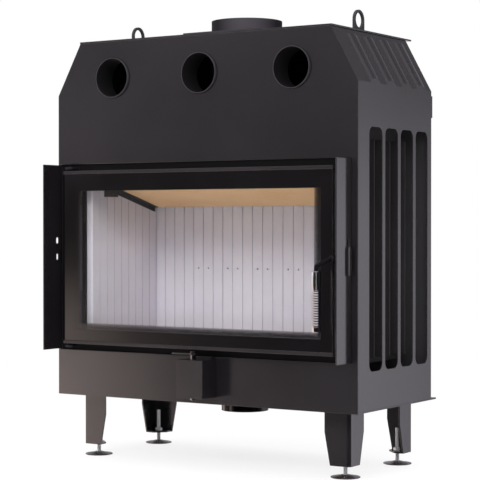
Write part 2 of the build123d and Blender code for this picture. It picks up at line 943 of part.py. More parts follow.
def hinge_stack():
    """Heights of the washer and bracket faces beside each end of the door."""
    washer_low = door_bottom - washer_gap - washer_thickness
    washer_high = door_top + washer_gap
    return ((washer_low - bracket_thickness, washer_low),
            (washer_high + washer_thickness, washer_high + washer_thickness + bracket_thickness))


def hinge_brackets():
    """Two flat lugs on the firebox frame, above and below the door."""
    lugs = []
    for low, high in hinge_stack():
        lug = block(hinge_x - bracket_width / 2, hinge_x + bracket_width / 2,
                    hinge_y, frame_front, low, high)
        lug += rod(hinge_x, hinge_y, low, high, bracket_width / 2)
        lugs.append(lug - rod(hinge_x, hinge_y, low - 1, high + 1, hinge_pin_radius + weld_gap))
    return Compound(children=lugs)


def hinge_washers():
    """Two washers that carry and guide the door between the lugs."""
    (_, low), (high, _) = hinge_stack()
    washers = []
    for z0 in (low, high - washer_thickness):
        ring = rod(hinge_x, hinge_y, z0, z0 + washer_thickness, washer_radius)
        washers.append(ring - rod(hinge_x, hinge_y, z0 - 1, z0 + washer_thickness + 1,
                                  hinge_pin_radius + weld_gap))
    return Compound(children=washers)


def hinge_pins():
    """Two headed pins through the lugs into the door's corners."""
    (low, _), (_, high) = hinge_stack()
    bottom = rod(hinge_x, hinge_y, low, door_bottom + rail_web + hinge_pin_depth,
                 hinge_pin_radius)
    bottom += rod(hinge_x, hinge_y, low - hinge_head, low, hinge_head_radius)
    top = rod(hinge_x, hinge_y, door_top - rail_web - hinge_pin_depth, high, hinge_pin_radius)
    top += rod(hinge_x, hinge_y, high, high + hinge_head, hinge_head_radius)
    return Compound(children=[bottom, top])


# ---------------------------------------------------------------- handle and latch


def latch_bearing():
    """The block on the door's right edge that the latch shaft turns in."""
    face = panel(half_door, half_door + bearing_width, latch_z - bearing_height / 2,
                 latch_z + bearing_height / 2)
    face -= Pos(latch_x, latch_z) * Circle(latch_shaft_radius + running_gap)
    return along_y(face, frame_face, -door_frame_back - bearing_setback + 3)


def latch_shaft():
    """The shaft through the bearing, with the latch hook welded on its rear end."""
    hook_front = -door_frame_back - bearing_setback + 3 + hook_gap
    hook_back = hook_front + hook_thickness
    shaft = along_y(Pos(latch_x, latch_z) * Circle(latch_shaft_radius),
                    -arm_hub_front, hook_back)
    hook = Pos(latch_x, latch_z) * Circle(hook_hub_radius)
    hook += panel(latch_x, latch_x + hook_reach, latch_z - hook_height / 2,
                  latch_z + hook_height / 2)
    return shaft + along_y(hook, hook_front, hook_back)


def latch_catch():
    """The keeper on the firebox frame, above the nose of the hook."""
    low = latch_z + hook_height / 2 + catch_gap
    left = latch_x + hook_reach - catch_width + 2
    prong = block(left, left + catch_width, -catch_reach, frame_front, low, low + catch_thickness)
    foot = block(left, left + catch_width, frame_front - catch_thickness, frame_front,
                 low, low + 4 * catch_thickness)
    return prong + foot


def handle_arm():
    """The hub on the latch shaft and the bent round arm down to the head of the grip."""
    hub = along_y(Pos(latch_x, latch_z) * Circle(arm_hub_radius),
                  -arm_hub_front, arm_hub_length - arm_hub_front)
    start = Vector(latch_x, arm_hub_length / 2 - arm_hub_front, latch_z)
    elbow = Vector(grip_x, grip_y, grip_top + arm_rise)
    path = Plane(origin=start, z_dir=elbow - start)
    arm = extrude(path * Circle(arm_radius), (elbow - start).length)
    arm += Pos(*elbow) * Sphere(arm_radius)
    arm += rod(grip_x, grip_y, grip_top, elbow.Z, arm_radius)
    arm += hub
    return arm - along_y(Pos(latch_x, latch_z) * Circle(latch_shaft_radius + weld_gap / 2),
                         -arm_hub_front - 1, arm_radius - arm_hub_front + arm_hub_length)


def handle_grip():
    """The bright round grip, turned with a row of rounded beads between its plain ends."""
    radius = grip_radius
    bead_low = grip_bottom + grip_plain_bottom
    count = int((grip_top - grip_plain_top - bead_low) / grip_bead_pitch)
    pitch = (grip_top - grip_plain_top - bead_low) / count
    round_off = 2
    edge = [Line((0, grip_bottom), (radius - round_off, grip_bottom)),
            ThreePointArc((radius - round_off, grip_bottom),
                          (radius - round_off * (1 - sin(pi / 4)),
                           grip_bottom + round_off * (1 - cos(pi / 4))),
                          (radius, grip_bottom + round_off)),
            Line((radius, grip_bottom + round_off), (radius, bead_low)),
            Line((radius, bead_low), (radius - grip_bead_depth, bead_low))]
    for index in range(count):
        low = bead_low + index * pitch
        edge.append(ThreePointArc((radius - grip_bead_depth, low), (radius, low + pitch / 2),
                                  (radius - grip_bead_depth, low + pitch)))
    bead_high = grip_top - grip_plain_top
    edge += [Line((radius - grip_bead_depth, bead_high), (radius, bead_high)),
             Line((radius, bead_high), (radius, grip_top - round_off)),
             ThreePointArc((radius, grip_top - round_off),
                           (radius - round_off * (1 - cos(pi / 4)),
                            grip_top - round_off * (1 - sin(pi / 4))),
                           (radius - round_off, grip_top)),
             Line((radius - round_off, grip_top), (0, grip_top)),
             Line((0, grip_top), (0, grip_bottom))]
    profile = Plane.XZ * make_face(Wire(edge))
    return Pos(grip_x, grip_y, 0) * revolve(profile, Axis.Z)


# ---------------------------------------------------------------- legs and feet


def leg_corner(at_back):
    """The bend of a right-hand leg: x, y and the direction of the side leaf."""
    x = half_width - leg_inset_x
    return (x, leg_back_y, -1) if at_back else (x, leg_front_y, 1)


def foot_axis(at_back):
    """Where the foot bolt of a right-hand leg stands."""
    x, y, inward = leg_corner(at_back)
    return x - foot_axis_inset, y + inward * foot_axis_inset


def leg_bolt_places():
    """The two fixing bolts of every leg, as seen from above."""
    places = []
    for side in (-1, 1):
        for at_back in (False, True):
            x, y, inward = leg_corner(at_back)
            near = leg_sheet + leg_bolt_head
            places.append((side * (x - leg_bolt_offset), y + inward * near))
            places.append((side * (x - near), y + inward * leg_bolt_offset))
    return places


def leg(at_back):
    """A right-hand leg: a tapered angle with a top flange and a foot plate inside it."""
    x, y, inward = leg_corner(at_back)
    outer = Pos(-leg_front_leaf / 2, leg_side_leaf / 2) * Rectangle(leg_front_leaf, leg_side_leaf)
    corner = outer.vertices().sort_by(Axis.Y)[:2].sort_by(Axis.X)[-1]
    outer = fillet(corner, leg_bend)
    inner = Pos(-leg_sheet - leg_front_leaf / 2, leg_sheet + leg_side_leaf / 2) * Rectangle(
        leg_front_leaf, leg_side_leaf)
    corner = inner.vertices().sort_by(Axis.Y)[:2].sort_by(Axis.X)[-1]
    inner = fillet(corner, leg_bend - leg_sheet)
    post = along_z(outer - inner, -leg_height, 0)
    front_taper = outline((-leg_front_leaf, -leg_straight), (-leg_front_foot, -leg_height - 1),
                          (-leg_front_leaf - 1, -leg_height - 1),
                          (-leg_front_leaf - 1, -leg_straight))
    side_taper = outline((leg_side_leaf, -leg_straight), (leg_side_foot, -leg_height - 1),
                         (leg_side_leaf + 1, -leg_height - 1), (leg_side_leaf + 1, -leg_straight))
    post -= along_y(front_taper, -1, leg_sheet + 1)
    post -= along_x(side_taper, -leg_sheet - 1, 1)
    flange = outline((-leg_sheet, leg_sheet), (-leg_flange, leg_sheet),
                     (-leg_flange, leg_flange / 2), (-leg_flange / 2, leg_flange),
                     (-leg_sheet, leg_flange))
    post += along_z(flange, -leg_flange_sheet, 0)
    plate = outline((-leg_sheet, leg_sheet), (-foot_plate_x, leg_sheet),
                    (-foot_plate_x, foot_plate_y / 2), (-foot_plate_x / 2, foot_plate_y),
                    (-leg_sheet, foot_plate_y))
    post += along_z(plate, -leg_height, -leg_height + foot_plate_sheet)
    post -= rod(-foot_axis_inset, foot_axis_inset, -leg_height - 1,
                -leg_height + foot_plate_sheet + 1, foot_bolt_radius + running_gap)
    for reach_x, reach_y in ((leg_bolt_offset, leg_sheet + leg_bolt_head),
                             (leg_sheet + leg_bolt_head, leg_bolt_offset)):
        post -= rod(-reach_x, reach_y, -leg_flange_sheet - 1, 1, leg_bolt_radius + weld_gap)
    if inward < 0:
        post = mirror(post, about=Plane.XZ)
    return Pos(x, y, 0) * post


def levelling_foot(at_back):
    """A foot: a shallow round pad swaged on a long bolt."""
    x, y = foot_axis(at_back)
    radius = pad_diameter / 2
    profile = outline((0, 0), (radius, 0), (radius, pad_edge),
                      (pad_hub_radius, pad_edge + pad_rise), (foot_bolt_radius + 2,
                      pad_edge + pad_rise), (0, pad_edge + pad_rise))
    pad = revolve(Plane.XZ * profile, Axis.Z)
    foot = Pos(x, y, -floor_drop) * pad
    return foot + rod(x, y, -floor_drop + pad_edge + pad_rise - 1, -foot_bolt_top,
                      foot_bolt_radius)


def foot_nuts():
    """The four nuts on the foot plates."""
    nuts = []
    low = -leg_height + foot_plate_sheet
    for side in (-1, 1):
        for at_back in (False, True):
            x, y = foot_axis(at_back)
            nut = hexagon_bar(side * x, y, low, low + foot_nut_height, foot_nut_width)
            nuts.append(nut - rod(side * x, y, low - 1, low + foot_nut_height + 1,
                                  foot_bolt_radius + running_gap))
    return Compound(children=nuts)


def leg_bolts():
    """The eight bolts that hold the legs to the base plate."""
    bolts = []
    low = -leg_flange_sheet
    for x, y in leg_bolt_places():
        bolt = hexagon_bar(x, y, low - leg_bolt_head_height, low, leg_bolt_head)
        bolts.append(bolt + rod(x, y, low, plate_thickness + 2, leg_bolt_radius))
    return Compound(children=bolts)


# ---------------------------------------------------------------- all pieces


def all_pieces():
    """Every piece under its node name, in the bench frame."""
    pieces = {
        "front_plate": front_plate(),
        "side_panel_right": side_panel(),
        "side_panel_left": mirrored(side_panel()),
        "back_panel": back_panel(),
        "roof_plate": roof_plate(),
        "base_plate": base_plate(),
        "rear_tabs": rear_tabs(),
        "side_cheek_right": side_cheek(window_right, cheek_flange_right),
        "side_cheek_left": mirrored(side_cheek(window_left, cheek_flange_left)),
        "cheek_pad": cheek_pad(),
        "hot_air_collar_left": hot_air_collar(-duct_spacing),
        "hot_air_collar_middle": hot_air_collar(0),
        "hot_air_collar_right": hot_air_collar(duct_spacing),
        "flue_plinth": flue_plinth(),
        "flue_collar": flue_tube(casing_height + plinth_height, casing_height + flue_rise),
        "flue_duct": flue_tube(firebox_top, casing_height + plinth_height - jacket_sheet),
        "lifting_eyes": lifting_eyes(),
        "firebox_shell": firebox_shell(),
        "firebox_frame": firebox_frame(),
        "side_fins": side_fins(),
        "lining_back": lining_back(),
        "lining_right": lining_side(),
        "lining_left": mirrored(lining_side()),
        "hearth_slab": hearth_slab(),
        "lining_clips": lining_clips(),
        "baffle": baffle(),
        "baffle_rails": baffle_rails(),
        "air_wash_channel": air_wash_channel(),
        "air_inlet_spigot": air_inlet_spigot(),
        "inlet_duct": inlet_duct(),
        "air_box": air_box(),
        "rear_air_channel": rear_air_channel(),
        "air_slide": air_slide(),
        "control_cover": control_cover(),
        "air_spindle": air_spindle(),
        "air_lever": air_lever(),
        "spindle_nuts": spindle_nuts(),
        "door_glass": door_glass(),
        "door_frame": door_frame(),
        "door_seal": door_seal(),
        "glass_gasket": glass_gasket(),
        "door_rails": door_rails(),
        "hinge_brackets": hinge_brackets(),
        "hinge_washers": hinge_washers(),
        "hinge_pins": hinge_pins(),
        "latch_bearing": latch_bearing(),
        "latch_shaft": latch_shaft(),
        "latch_catch": latch_catch(),
        "handle_arm": handle_arm(),
        "handle_grip": handle_grip(),
        "foot_nuts": foot_nuts(),
        "leg_bolts": leg_bolts(),
    }
    for at_back, word in ((False, "front"), (True, "back")):
        right_leg = leg(at_back)
        right_foot = levelling_foot(at_back)
        pieces[f"leg_{word}_right"] = right_leg
        pieces[f"leg_{word}_left"] = mirrored(right_leg)
        pieces[f"foot_{word}_right"] = right_foot
        pieces[f"foot_{word}_left"] = mirrored(right_foot)
    return pieces


os.makedirs("parts", exist_ok=True)
to_footprint = Pos(0, -footprint_middle, floor_drop)
for name, piece in all_pieces().items():
    export_step(to_footprint * piece, os.path.join("parts", f"{name}.step"))
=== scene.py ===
from math import ceil, cos, pi, radians, sin, tan

import bpy
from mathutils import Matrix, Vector


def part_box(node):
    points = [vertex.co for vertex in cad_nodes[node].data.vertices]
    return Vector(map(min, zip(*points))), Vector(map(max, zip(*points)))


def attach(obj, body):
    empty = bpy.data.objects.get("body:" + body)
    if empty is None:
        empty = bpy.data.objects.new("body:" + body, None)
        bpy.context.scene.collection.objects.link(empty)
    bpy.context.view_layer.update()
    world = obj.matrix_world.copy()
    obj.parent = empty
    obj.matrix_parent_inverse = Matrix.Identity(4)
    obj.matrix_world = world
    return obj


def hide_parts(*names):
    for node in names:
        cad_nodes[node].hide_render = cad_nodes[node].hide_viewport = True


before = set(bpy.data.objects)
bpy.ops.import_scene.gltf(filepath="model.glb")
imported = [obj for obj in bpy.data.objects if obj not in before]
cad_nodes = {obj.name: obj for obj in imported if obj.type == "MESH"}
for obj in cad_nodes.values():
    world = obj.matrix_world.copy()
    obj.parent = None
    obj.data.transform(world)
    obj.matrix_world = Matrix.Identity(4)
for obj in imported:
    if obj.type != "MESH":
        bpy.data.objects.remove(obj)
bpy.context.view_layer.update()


# ------------------------------------------------------------------ jacket
# Welded jacket of 2 to 4 mm sheet: front plate, slotted and ribbed side panels, back, roof and
# base, with the two cheeks that line the window. All of it is sprayed with a charcoal
# heat-proof paint that dries satin, slightly pebbled, and rubs paler on its cut edges.
JACKET_NODES = ["front_plate", "side_panel_left", "side_panel_right", "back_panel", "roof_plate",
                "base_plate", "rear_tabs", "side_cheek_left", "side_cheek_right", "cheek_pad"]
JACKET_COLOUR = (0.0078, 0.0066, 0.0080)
JACKET_PALE = (0.0115, 0.0100, 0.0120)
JACKET_RUBBED = (0.060, 0.056, 0.062)
JACKET_ROUGHNESS = (0.13, 0.18)
JACKET_GLOSS = 1.0
JACKET_PEBBLE = 0.00002
JACKET_PRIMER = (0.034, 0.031, 0.035)
PRIMER_ROUGHNESS = 0.6
DUST_SHARE = 0.25
JACKET_INSIDE = {"X": (-0.4390, 0.4390), "Y": (-0.1565, 0.2195), "Z": (0.1615, 0.9270)}
SHEET_ROUNDING = 0.0016


def fill_inputs(tree, node, inputs):
    """Sets or links a node's inputs; a colour may be written as three numbers."""
    for name, value in inputs.items():
        socket = node.inputs[name]
        if isinstance(value, bpy.types.NodeSocket):
            tree.links.new(value, socket)
        else:
            socket.default_value = (*value, 1.0) if socket.type == "RGBA" else value


def place_node(tree, kind, inputs=None, **properties):
    """Adds a shader node, sets its properties and fills its inputs."""
    made = tree.nodes.new("ShaderNode" + kind)
    for name, value in properties.items():
        setattr(made, name, value)
    fill_inputs(tree, made, inputs or {})
    return made


def calculate(tree, operation, first, second=0.0):
    """One Math node."""
    return place_node(tree, "Math", {0: first, 1: second}, operation=operation).outputs[0]


def multiply(tree, first, *others):
    """The product of several values."""
    for other in others:
        first = calculate(tree, "MULTIPLY", first, other)
    return first


def stretch(tree, value, low, high, to_low=0.0, to_high=1.0):
    """Maps a value from one range to another, clamped at both ends."""
    made = place_node(tree, "MapRange", {"Value": value, "From Min": low, "From Max": high,
                                         "To Min": to_low, "To Max": to_high})
    return made.outputs["Result"]


def mix_colours(tree, factor, first, second):
    """Blends two colours, each a socket or three numbers."""
    return place_node(tree, "Mix", {0: factor, 6: first, 7: second}, data_type="RGBA").outputs[2]


def own_place(tree):
    """Where a point lies on its piece, in metres."""
    return place_node(tree, "TexCoord").outputs["Object"]


def own_axes(tree):
    """The same place as three numbers."""
    return place_node(tree, "SeparateXYZ", {"Vector": own_place(tree)}).outputs


def noise(tree, scale, detail, roughness=0.5, place=None):
    """Soft noise over the piece, from 0 to 1."""
    return place_node(tree, "TexNoise", {"Vector": place or own_place(tree), "Scale": scale,
                                         "Detail": detail, "Roughness": roughness}).outputs["Fac"]


def start_effect(name, inputs, outputs):
    """An empty node group with named inputs, and named outputs of the given kinds."""
    group = bpy.data.node_groups.new(name, "ShaderNodeTree")
    for label, value in inputs.items():
        socket = group.interface.new_socket(label, in_out="INPUT", socket_type="NodeSocketFloat")
        socket.default_value = value
    for label, kind in outputs.items():
        group.interface.new_socket(label, in_out="OUTPUT", socket_type="NodeSocket" + kind)
    return group, group.nodes.new("NodeGroupInput"), group.nodes.new("NodeGroupOutput")


def use_effect(tree, group, **values):
    """Places a node group in a material, its inputs named with underscores for spaces."""
    made = tree.nodes.new("ShaderNodeGroup")
    made.node_tree = group
    for name, value in values.items():
        made.inputs[name.replace("_", " ").capitalize()].default_value = value
    return made.outputs


def start_finish(name):
    """A new material: its tree and its shader."""
    material = bpy.data.materials.new(name)
    material.use_nodes = True
    tree = material.node_tree
    return material, tree, tree.nodes["Principled BSDF"]


def add_bump(tree, shader, height, distance, normal=None):
    """Feeds a height in metres into the shader's normal."""
    bump = place_node(tree, "Bump", {"Height": height, "Strength": 1.0, "Distance": distance})
    fill_inputs(tree, bump, {"Normal": normal} if normal else {})
    fill_inputs(tree, shader, {"Normal": bump.outputs["Normal"]})


def cover_nodes(material, names):
    """Gives CAD nodes their finish."""
    for name in names:
        mesh = cad_nodes[name].data
        mesh.materials.clear()
        mesh.materials.append(material)


# Where an edge turns sharply the paint is thin: this effect finds such edges and rounds them.
edge_rub, given, result = start_effect("edge_rub", {"Radius": 0.001, "Amount": 1.0},
                                       {"Rub": "Float", "Normal": "Vector"})
rounded = place_node(edge_rub, "Bevel", {"Radius": given.outputs["Radius"]}, samples=4)
surface = place_node(edge_rub, "NewGeometry")
agreement = place_node(edge_rub, "VectorMath", {0: rounded.outputs["Normal"],
                                                1: surface.outputs["Normal"]},
                       operation="DOT_PRODUCT")
turn = stretch(edge_rub, agreement.outputs["Value"], 0.985, 0.80)
uneven = stretch(edge_rub, noise(edge_rub, 34.0, 4.0, 0.65), 0.38, 0.66)
fill_inputs(edge_rub, result, {
    "Rub": multiply(edge_rub, turn, uneven, given.outputs["Amount"]),
    "Normal": rounded.outputs["Normal"]})

# A sprayed or rolled surface is never even: broad clouds, a fine pebble and a few dust nibs.
surface_grain, given, result = start_effect("surface_grain", {"Cloud scale": 5.0,
                                                              "Pebble scale": 900.0},
                                            {"Cloud": "Float", "Pebble": "Float", "Dust": "Float"})
where = own_place(surface_grain)
clouds = noise(surface_grain, given.outputs["Cloud scale"], 5.0, 0.55, where)
nibs = noise(surface_grain, 210.0, 1.0, 0.5, where)
fill_inputs(surface_grain, result, {
    "Cloud": stretch(surface_grain, clouds, 0.3, 0.7),
    "Pebble": noise(surface_grain, given.outputs["Pebble scale"], 2.0, 0.5, where),
    "Dust": stretch(surface_grain, nibs, 0.70, 0.80)})


def sprayed_paint(name, colour, pale, rubbed, roughness, pebble_depth, rounding, reflection=0.5,
                  inside=None):
    """Heat-proof paint on steel: clouded, pebbled, rubbed at the edges, only primed inside."""
    material, tree, shader = start_finish(name)
    grain = use_effect(tree, surface_grain, cloud_scale=4.5, pebble_scale=800.0)
    edges = use_effect(tree, edge_rub, radius=rounding, amount=0.7)
    tint = mix_colours(tree, grain["Cloud"], colour, pale)
    tint = mix_colours(tree, multiply(tree, grain["Dust"], DUST_SHARE), tint, rubbed)
    tint = mix_colours(tree, edges["Rub"], tint, rubbed)
    spread = stretch(tree, grain["Cloud"], 0.0, 1.0, *roughness)
    if inside:
        place = own_axes(tree)
        within = 1.0
        for axis, limits in inside.items():
            for side, limit in zip(("GREATER_THAN", "LESS_THAN"), limits):
                within = multiply(tree, within, calculate(tree, side, place[axis], limit))
        tint = mix_colours(tree, within, tint, JACKET_PRIMER)
        spread = calculate(tree, "MAXIMUM", spread, multiply(tree, within, PRIMER_ROUGHNESS))
    fill_inputs(tree, shader, {"Base Color": tint, "Roughness": spread,
                               "Specular IOR Level": reflection})
    add_bump(tree, shader, grain["Pebble"], pebble_depth, edges["Normal"])
    return material


jacket_paint = sprayed_paint("jacket_paint", JACKET_COLOUR, JACKET_PALE, JACKET_RUBBED,
                             JACKET_ROUGHNESS, JACKET_PEBBLE, SHEET_ROUNDING, JACKET_GLOSS,
                             JACKET_INSIDE)
cover_nodes(jacket_paint, JACKET_NODES)


# ------------------------------------------------------------------ weld seams
# The jacket's corners are closed with short runs of weld bead, ground where they would show
# and left rippled at the lugs, the flue stub and its plinth. Steel, painted over.
BEAD_RADIUS = 0.0016
BEAD_RIPPLE = 0.0032
BEAD_SIDES = 7
BEAD_SINK = 0.3
BEAD_LIFT = 0.0005
EYE_THICKNESS = 0.006
EYE_BEAD_END = 0.004
PLINTH_STITCHES = (-0.09, -0.01, 0.07)
STITCH_LENGTH = 0.025


def add_piece(name, points, faces, finish, body, slot, replaces=None, smooth=True,
              sharp_angle=35.0):
    """Makes a mesh piece that rides on a body, in place of a CAD node if one is named."""
    mesh = bpy.data.meshes.new(name)
    mesh.from_pydata([tuple(point) for point in points], [], faces)
    mesh.validate()
    mesh.materials.append(finish)
    for face in mesh.polygons:
        face.use_smooth = smooth
    if smooth:
        mesh.set_sharp_from_angle(angle=radians(sharp_angle))
    piece = bpy.data.objects.new(name, mesh)
    bpy.context.scene.collection.objects.link(piece)
    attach(piece, body)
    if replaces:
        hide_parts(replaces)


def joined_skin(*skins):
    """Several sets of points and faces as one."""
    points, faces = [], []
    for skin_points, skin_faces in skins:
        faces += [tuple(corner + len(points) for corner in face) for face in skin_faces]
        points += skin_points
    return points, faces


def level_ring(x, y, z, radius, sides):
    """Evenly spaced points on a level circle."""
    return [(x + radius * cos(2 * pi * step / sides), y + radius * sin(2 * pi * step / sides), z)
            for step in range(sides)]


def tube_faces(rings, sides, closed, start=0):
    """Faces of a tube made of rings of points, closed on itself or capped at both ends."""
    faces = []
    for ring in range(rings if closed else rings - 1):
        here = start + ring * sides
        there = start + (ring + 1) % rings * sides
        for side in range(sides):
            beside = (side + 1) % sides
            faces.append((here + side, here + beside, there + beside, there + side))
    if not closed:
        faces.append(tuple(start + side for side in reversed(range(sides))))
        faces.append(tuple(start + (rings - 1) * sides + side for side in range(sides)))
    return faces


def bead_run(path, closed=False):
    """A rippled round bead along points, as new points and faces."""
    points = []
    count = len(path)
    for index, point in enumerate(path):
        ahead = path[(index + 1) % count] if closed or index < count - 1 else point
        behind = path[index - 1] if closed or index > 0 else point
        along = (Vector(ahead) - Vector(behind)).normalized()
        aside = along.orthogonal().normalized() if abs(along.z) > 0.9 else along.cross(
            Vector((0, 0, 1))).normalized()
        up = along.cross(aside)
        radius = BEAD_RADIUS * (1.0 if index % 2 else 0.78)
        for side in range(BEAD_SIDES):
            turn_angle = 2 * pi * side / BEAD_SIDES
            points.append(Vector(point) + radius * (cos(turn_angle) * aside + sin(turn_angle) * up))
    return points, tube_faces(count, BEAD_SIDES, closed)


def straight_path(start, end):
    """Evenly spaced points from start to end, one for each half ripple."""
    start, end = Vector(start), Vector(end)
    count = max(2, round((end - start).length / (BEAD_RIPPLE / 2)))
    return [start.lerp(end, index / count) for index in range(count + 1)]


collar_low, collar_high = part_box("flue_collar")
plinth_low, plinth_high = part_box("flue_plinth")
eyes_low, eyes_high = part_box("lifting_eyes")
flue_middle = (collar_low + collar_high) / 2
ring_radius = (collar_high.x - collar_low.x) / 2 + BEAD_RADIUS * BEAD_SINK
ring_points = round(pi * ring_radius / (BEAD_RIPPLE / 2)) * 2
bead_runs = [bead_run(level_ring(flue_middle.x, flue_middle.y,
                                 plinth_high.z + BEAD_RADIUS * BEAD_SINK, ring_radius,
                                 ring_points), True)]
for side in (-1, 1):
    for outer in (eyes_high.x, eyes_high.x - EYE_THICKNESS):
        bead_runs.append(bead_run(straight_path(
            (side * outer, eyes_low.y + EYE_BEAD_END, eyes_low.z + BEAD_LIFT),
            (side * outer, eyes_high.y - EYE_BEAD_END, eyes_low.z + BEAD_LIFT))))
for edge_y in (plinth_low.y, plinth_high.y):
    for begin in PLINTH_STITCHES:
        bead_runs.append(bead_run(straight_path(
            (begin, edge_y, plinth_low.z + BEAD_LIFT),
            (begin + STITCH_LENGTH, edge_y, plinth_low.z + BEAD_LIFT))))
add_piece("roof_weld_beads", *joined_skin(*bead_runs), jacket_paint, "insert", "casing")


# ------------------------------------------------------------------ collars and lifting eyes
# Three rolled duct stubs in the upper front, the flue stub on its square folded cap, and two
# flame-cut lugs. Rolled 2 mm sheet, and 6 mm plate for the lugs, coated apart from the jacket
# in a duller and slightly paler charcoal that hardly shines on the curved sheet.
COLLAR_NODES = ["hot_air_collar_left", "hot_air_collar_middle", "hot_air_collar_right",
                "flue_plinth", "flue_collar", "lifting_eyes"]
COLLAR_COLOUR = (0.034, 0.031, 0.036)
COLLAR_PALE = (0.046, 0.042, 0.048)
COLLAR_ROUGHNESS = (0.50, 0.60)
COLLAR_SPACING = 0.264
COLLAR_HEIGHT = 0.968
COLLAR_BORE = 0.0484
# The near-black bore colour is painted shade.
COLLAR_BORE_SHADE = (0.010, 0.009, 0.010)
collar_paint = sprayed_paint("collar_paint", COLLAR_COLOUR, COLLAR_PALE, JACKET_RUBBED,
                             COLLAR_ROUGHNESS, JACKET_PEBBLE, SHEET_ROUNDING, 0.12)
cover_nodes(collar_paint, COLLAR_NODES)


def shade_colour(material, amount, colour):
    """Blends a colour over what already feeds a finish's base colour."""
    tree = material.node_tree
    base = tree.nodes["Principled BSDF"].inputs["Base Color"]
    tree.links.new(mix_colours(tree, amount, base.links[0].from_socket, colour), base)


# Painted shade: inside its bore a stub is coloured near-black, standing for the shade in the duct.
bore_shade_paint = collar_paint.copy()
bore_shade_paint.name = "collar_bore_painted_shade"
tree = bore_shade_paint.node_tree
place = own_axes(tree)
across = calculate(tree, "PINGPONG", place["X"], COLLAR_SPACING / 2)
upward = calculate(tree, "SUBTRACT", place["Z"], COLLAR_HEIGHT)
reach = calculate(tree, "SQRT", calculate(tree, "ADD", multiply(tree, across, across),
                                          multiply(tree, upward, upward)))
shade_colour(bore_shade_paint, calculate(tree, "LESS_THAN", reach, COLLAR_BORE), COLLAR_BORE_SHADE)
cover_nodes(bore_shade_paint, COLLAR_NODES[:3])

# Painted shade: the flue stub's colour darkens towards its sides, where its surface turns away from
# the view.
FLUE_COLOUR = (0.052, 0.047, 0.056)
FLUE_PALE = (0.062, 0.056, 0.066)
FLUE_SIDE_SHADE = (0.010, 0.009, 0.011)
flue_paint = sprayed_paint("flue_paint", FLUE_COLOUR, FLUE_PALE, JACKET_RUBBED, COLLAR_ROUGHNESS,
                           JACKET_PEBBLE, SHEET_ROUNDING, 0.03)
tree = flue_paint.node_tree
facing = place_node(tree, "LayerWeight", {"Blend": 0.5}).outputs["Facing"]
shade_colour(flue_paint, stretch(tree, facing, 0.0, 0.45, 0.0, 0.9), FLUE_SIDE_SHADE)
cover_nodes(flue_paint, ["flue_collar"])


# ------------------------------------------------------------------ firebox steel
# The firebox behind the window: welded 4 and 6 mm plate, its fins, air box and channels, with
# the clips and rails that hold the lining. Matt black stove paint, dusty and a little browned.
FIREBOX_NODES = ["firebox_shell", "side_fins", "flue_duct", "lining_clips", "baffle_rails",
                 "air_wash_channel", "inlet_duct", "air_box", "rear_air_channel", "air_slide"]
FIREBOX_COLOUR = (0.021, 0.019, 0.021)
FIREBOX_PALE = (0.031, 0.028, 0.030)
FIREBOX_RUBBED = (0.040, 0.036, 0.038)
firebox_paint = sprayed_paint("firebox_paint", FIREBOX_COLOUR, FIREBOX_PALE, FIREBOX_RUBBED,
                              (0.55, 0.7), 0.00012, 0.0009, reflection=0.25)
cover_nodes(firebox_paint, FIREBOX_NODES)
# Painted shade: the plate round the mouth stands in the dark gap beside the door, and is coloured
# near-black for the shade there.
MOUTH_SHADE_COLOUR = (0.0035, 0.0030, 0.0034)
MOUTH_SHADE_PALE = (0.0055, 0.0050, 0.0055)
MOUTH_SHADE_RUBBED = (0.03, 0.028, 0.03)
mouth_shade_paint = sprayed_paint("mouth_frame_painted_shade", MOUTH_SHADE_COLOUR, MOUTH_SHADE_PALE, MOUTH_SHADE_RUBBED,
                            (0.6, 0.75), 0.0001, SHEET_ROUNDING, 0.15)
cover_nodes(mouth_shade_paint, ["firebox_frame"])


# ------------------------------------------------------------------ lining
# Pale fireclay boards, 30 mm thick and grooved upright, cast dense and fired dry, on a plain
# hearth slab. They are lilac-white with grey and buff grains, and chalky, with painted shadow under
# the baffle and a darker band low down.
LINING_NODES = ["lining_back", "lining_left", "lining_right"]
HEARTH_COLOUR = (0.58, 0.56, 0.61)
HEARTH_PALE = (0.66, 0.64, 0.69)
LINING_COLOUR = (0.765, 0.745, 0.825)
LINING_PALE = (0.84, 0.82, 0.89)
# The grain colour also tints the darker bands, among them the painted shadow under the baffle.
LINING_GRAIN_AND_SHADE = (0.50, 0.46, 0.46)
LINING_GRAIN_SCALE = 420.0
LINING_GRAIN_SHARE = 0.12
LINING_PORE_DEPTH = 0.00025
LINING_ROUGHNESS = 0.92
GRAIN_STRENGTH = 0.55


def crystals(tree, scale):
    """Crystal-like cells: a chance value for each cell, and the distance from its middle."""
    cells = place_node(tree, "TexVoronoi", {"Vector": own_place(tree), "Scale": scale}).outputs
    chance = place_node(tree, "SeparateColor", {"Color": cells["Color"]}).outputs["Red"]
    return chance, cells["Distance"]


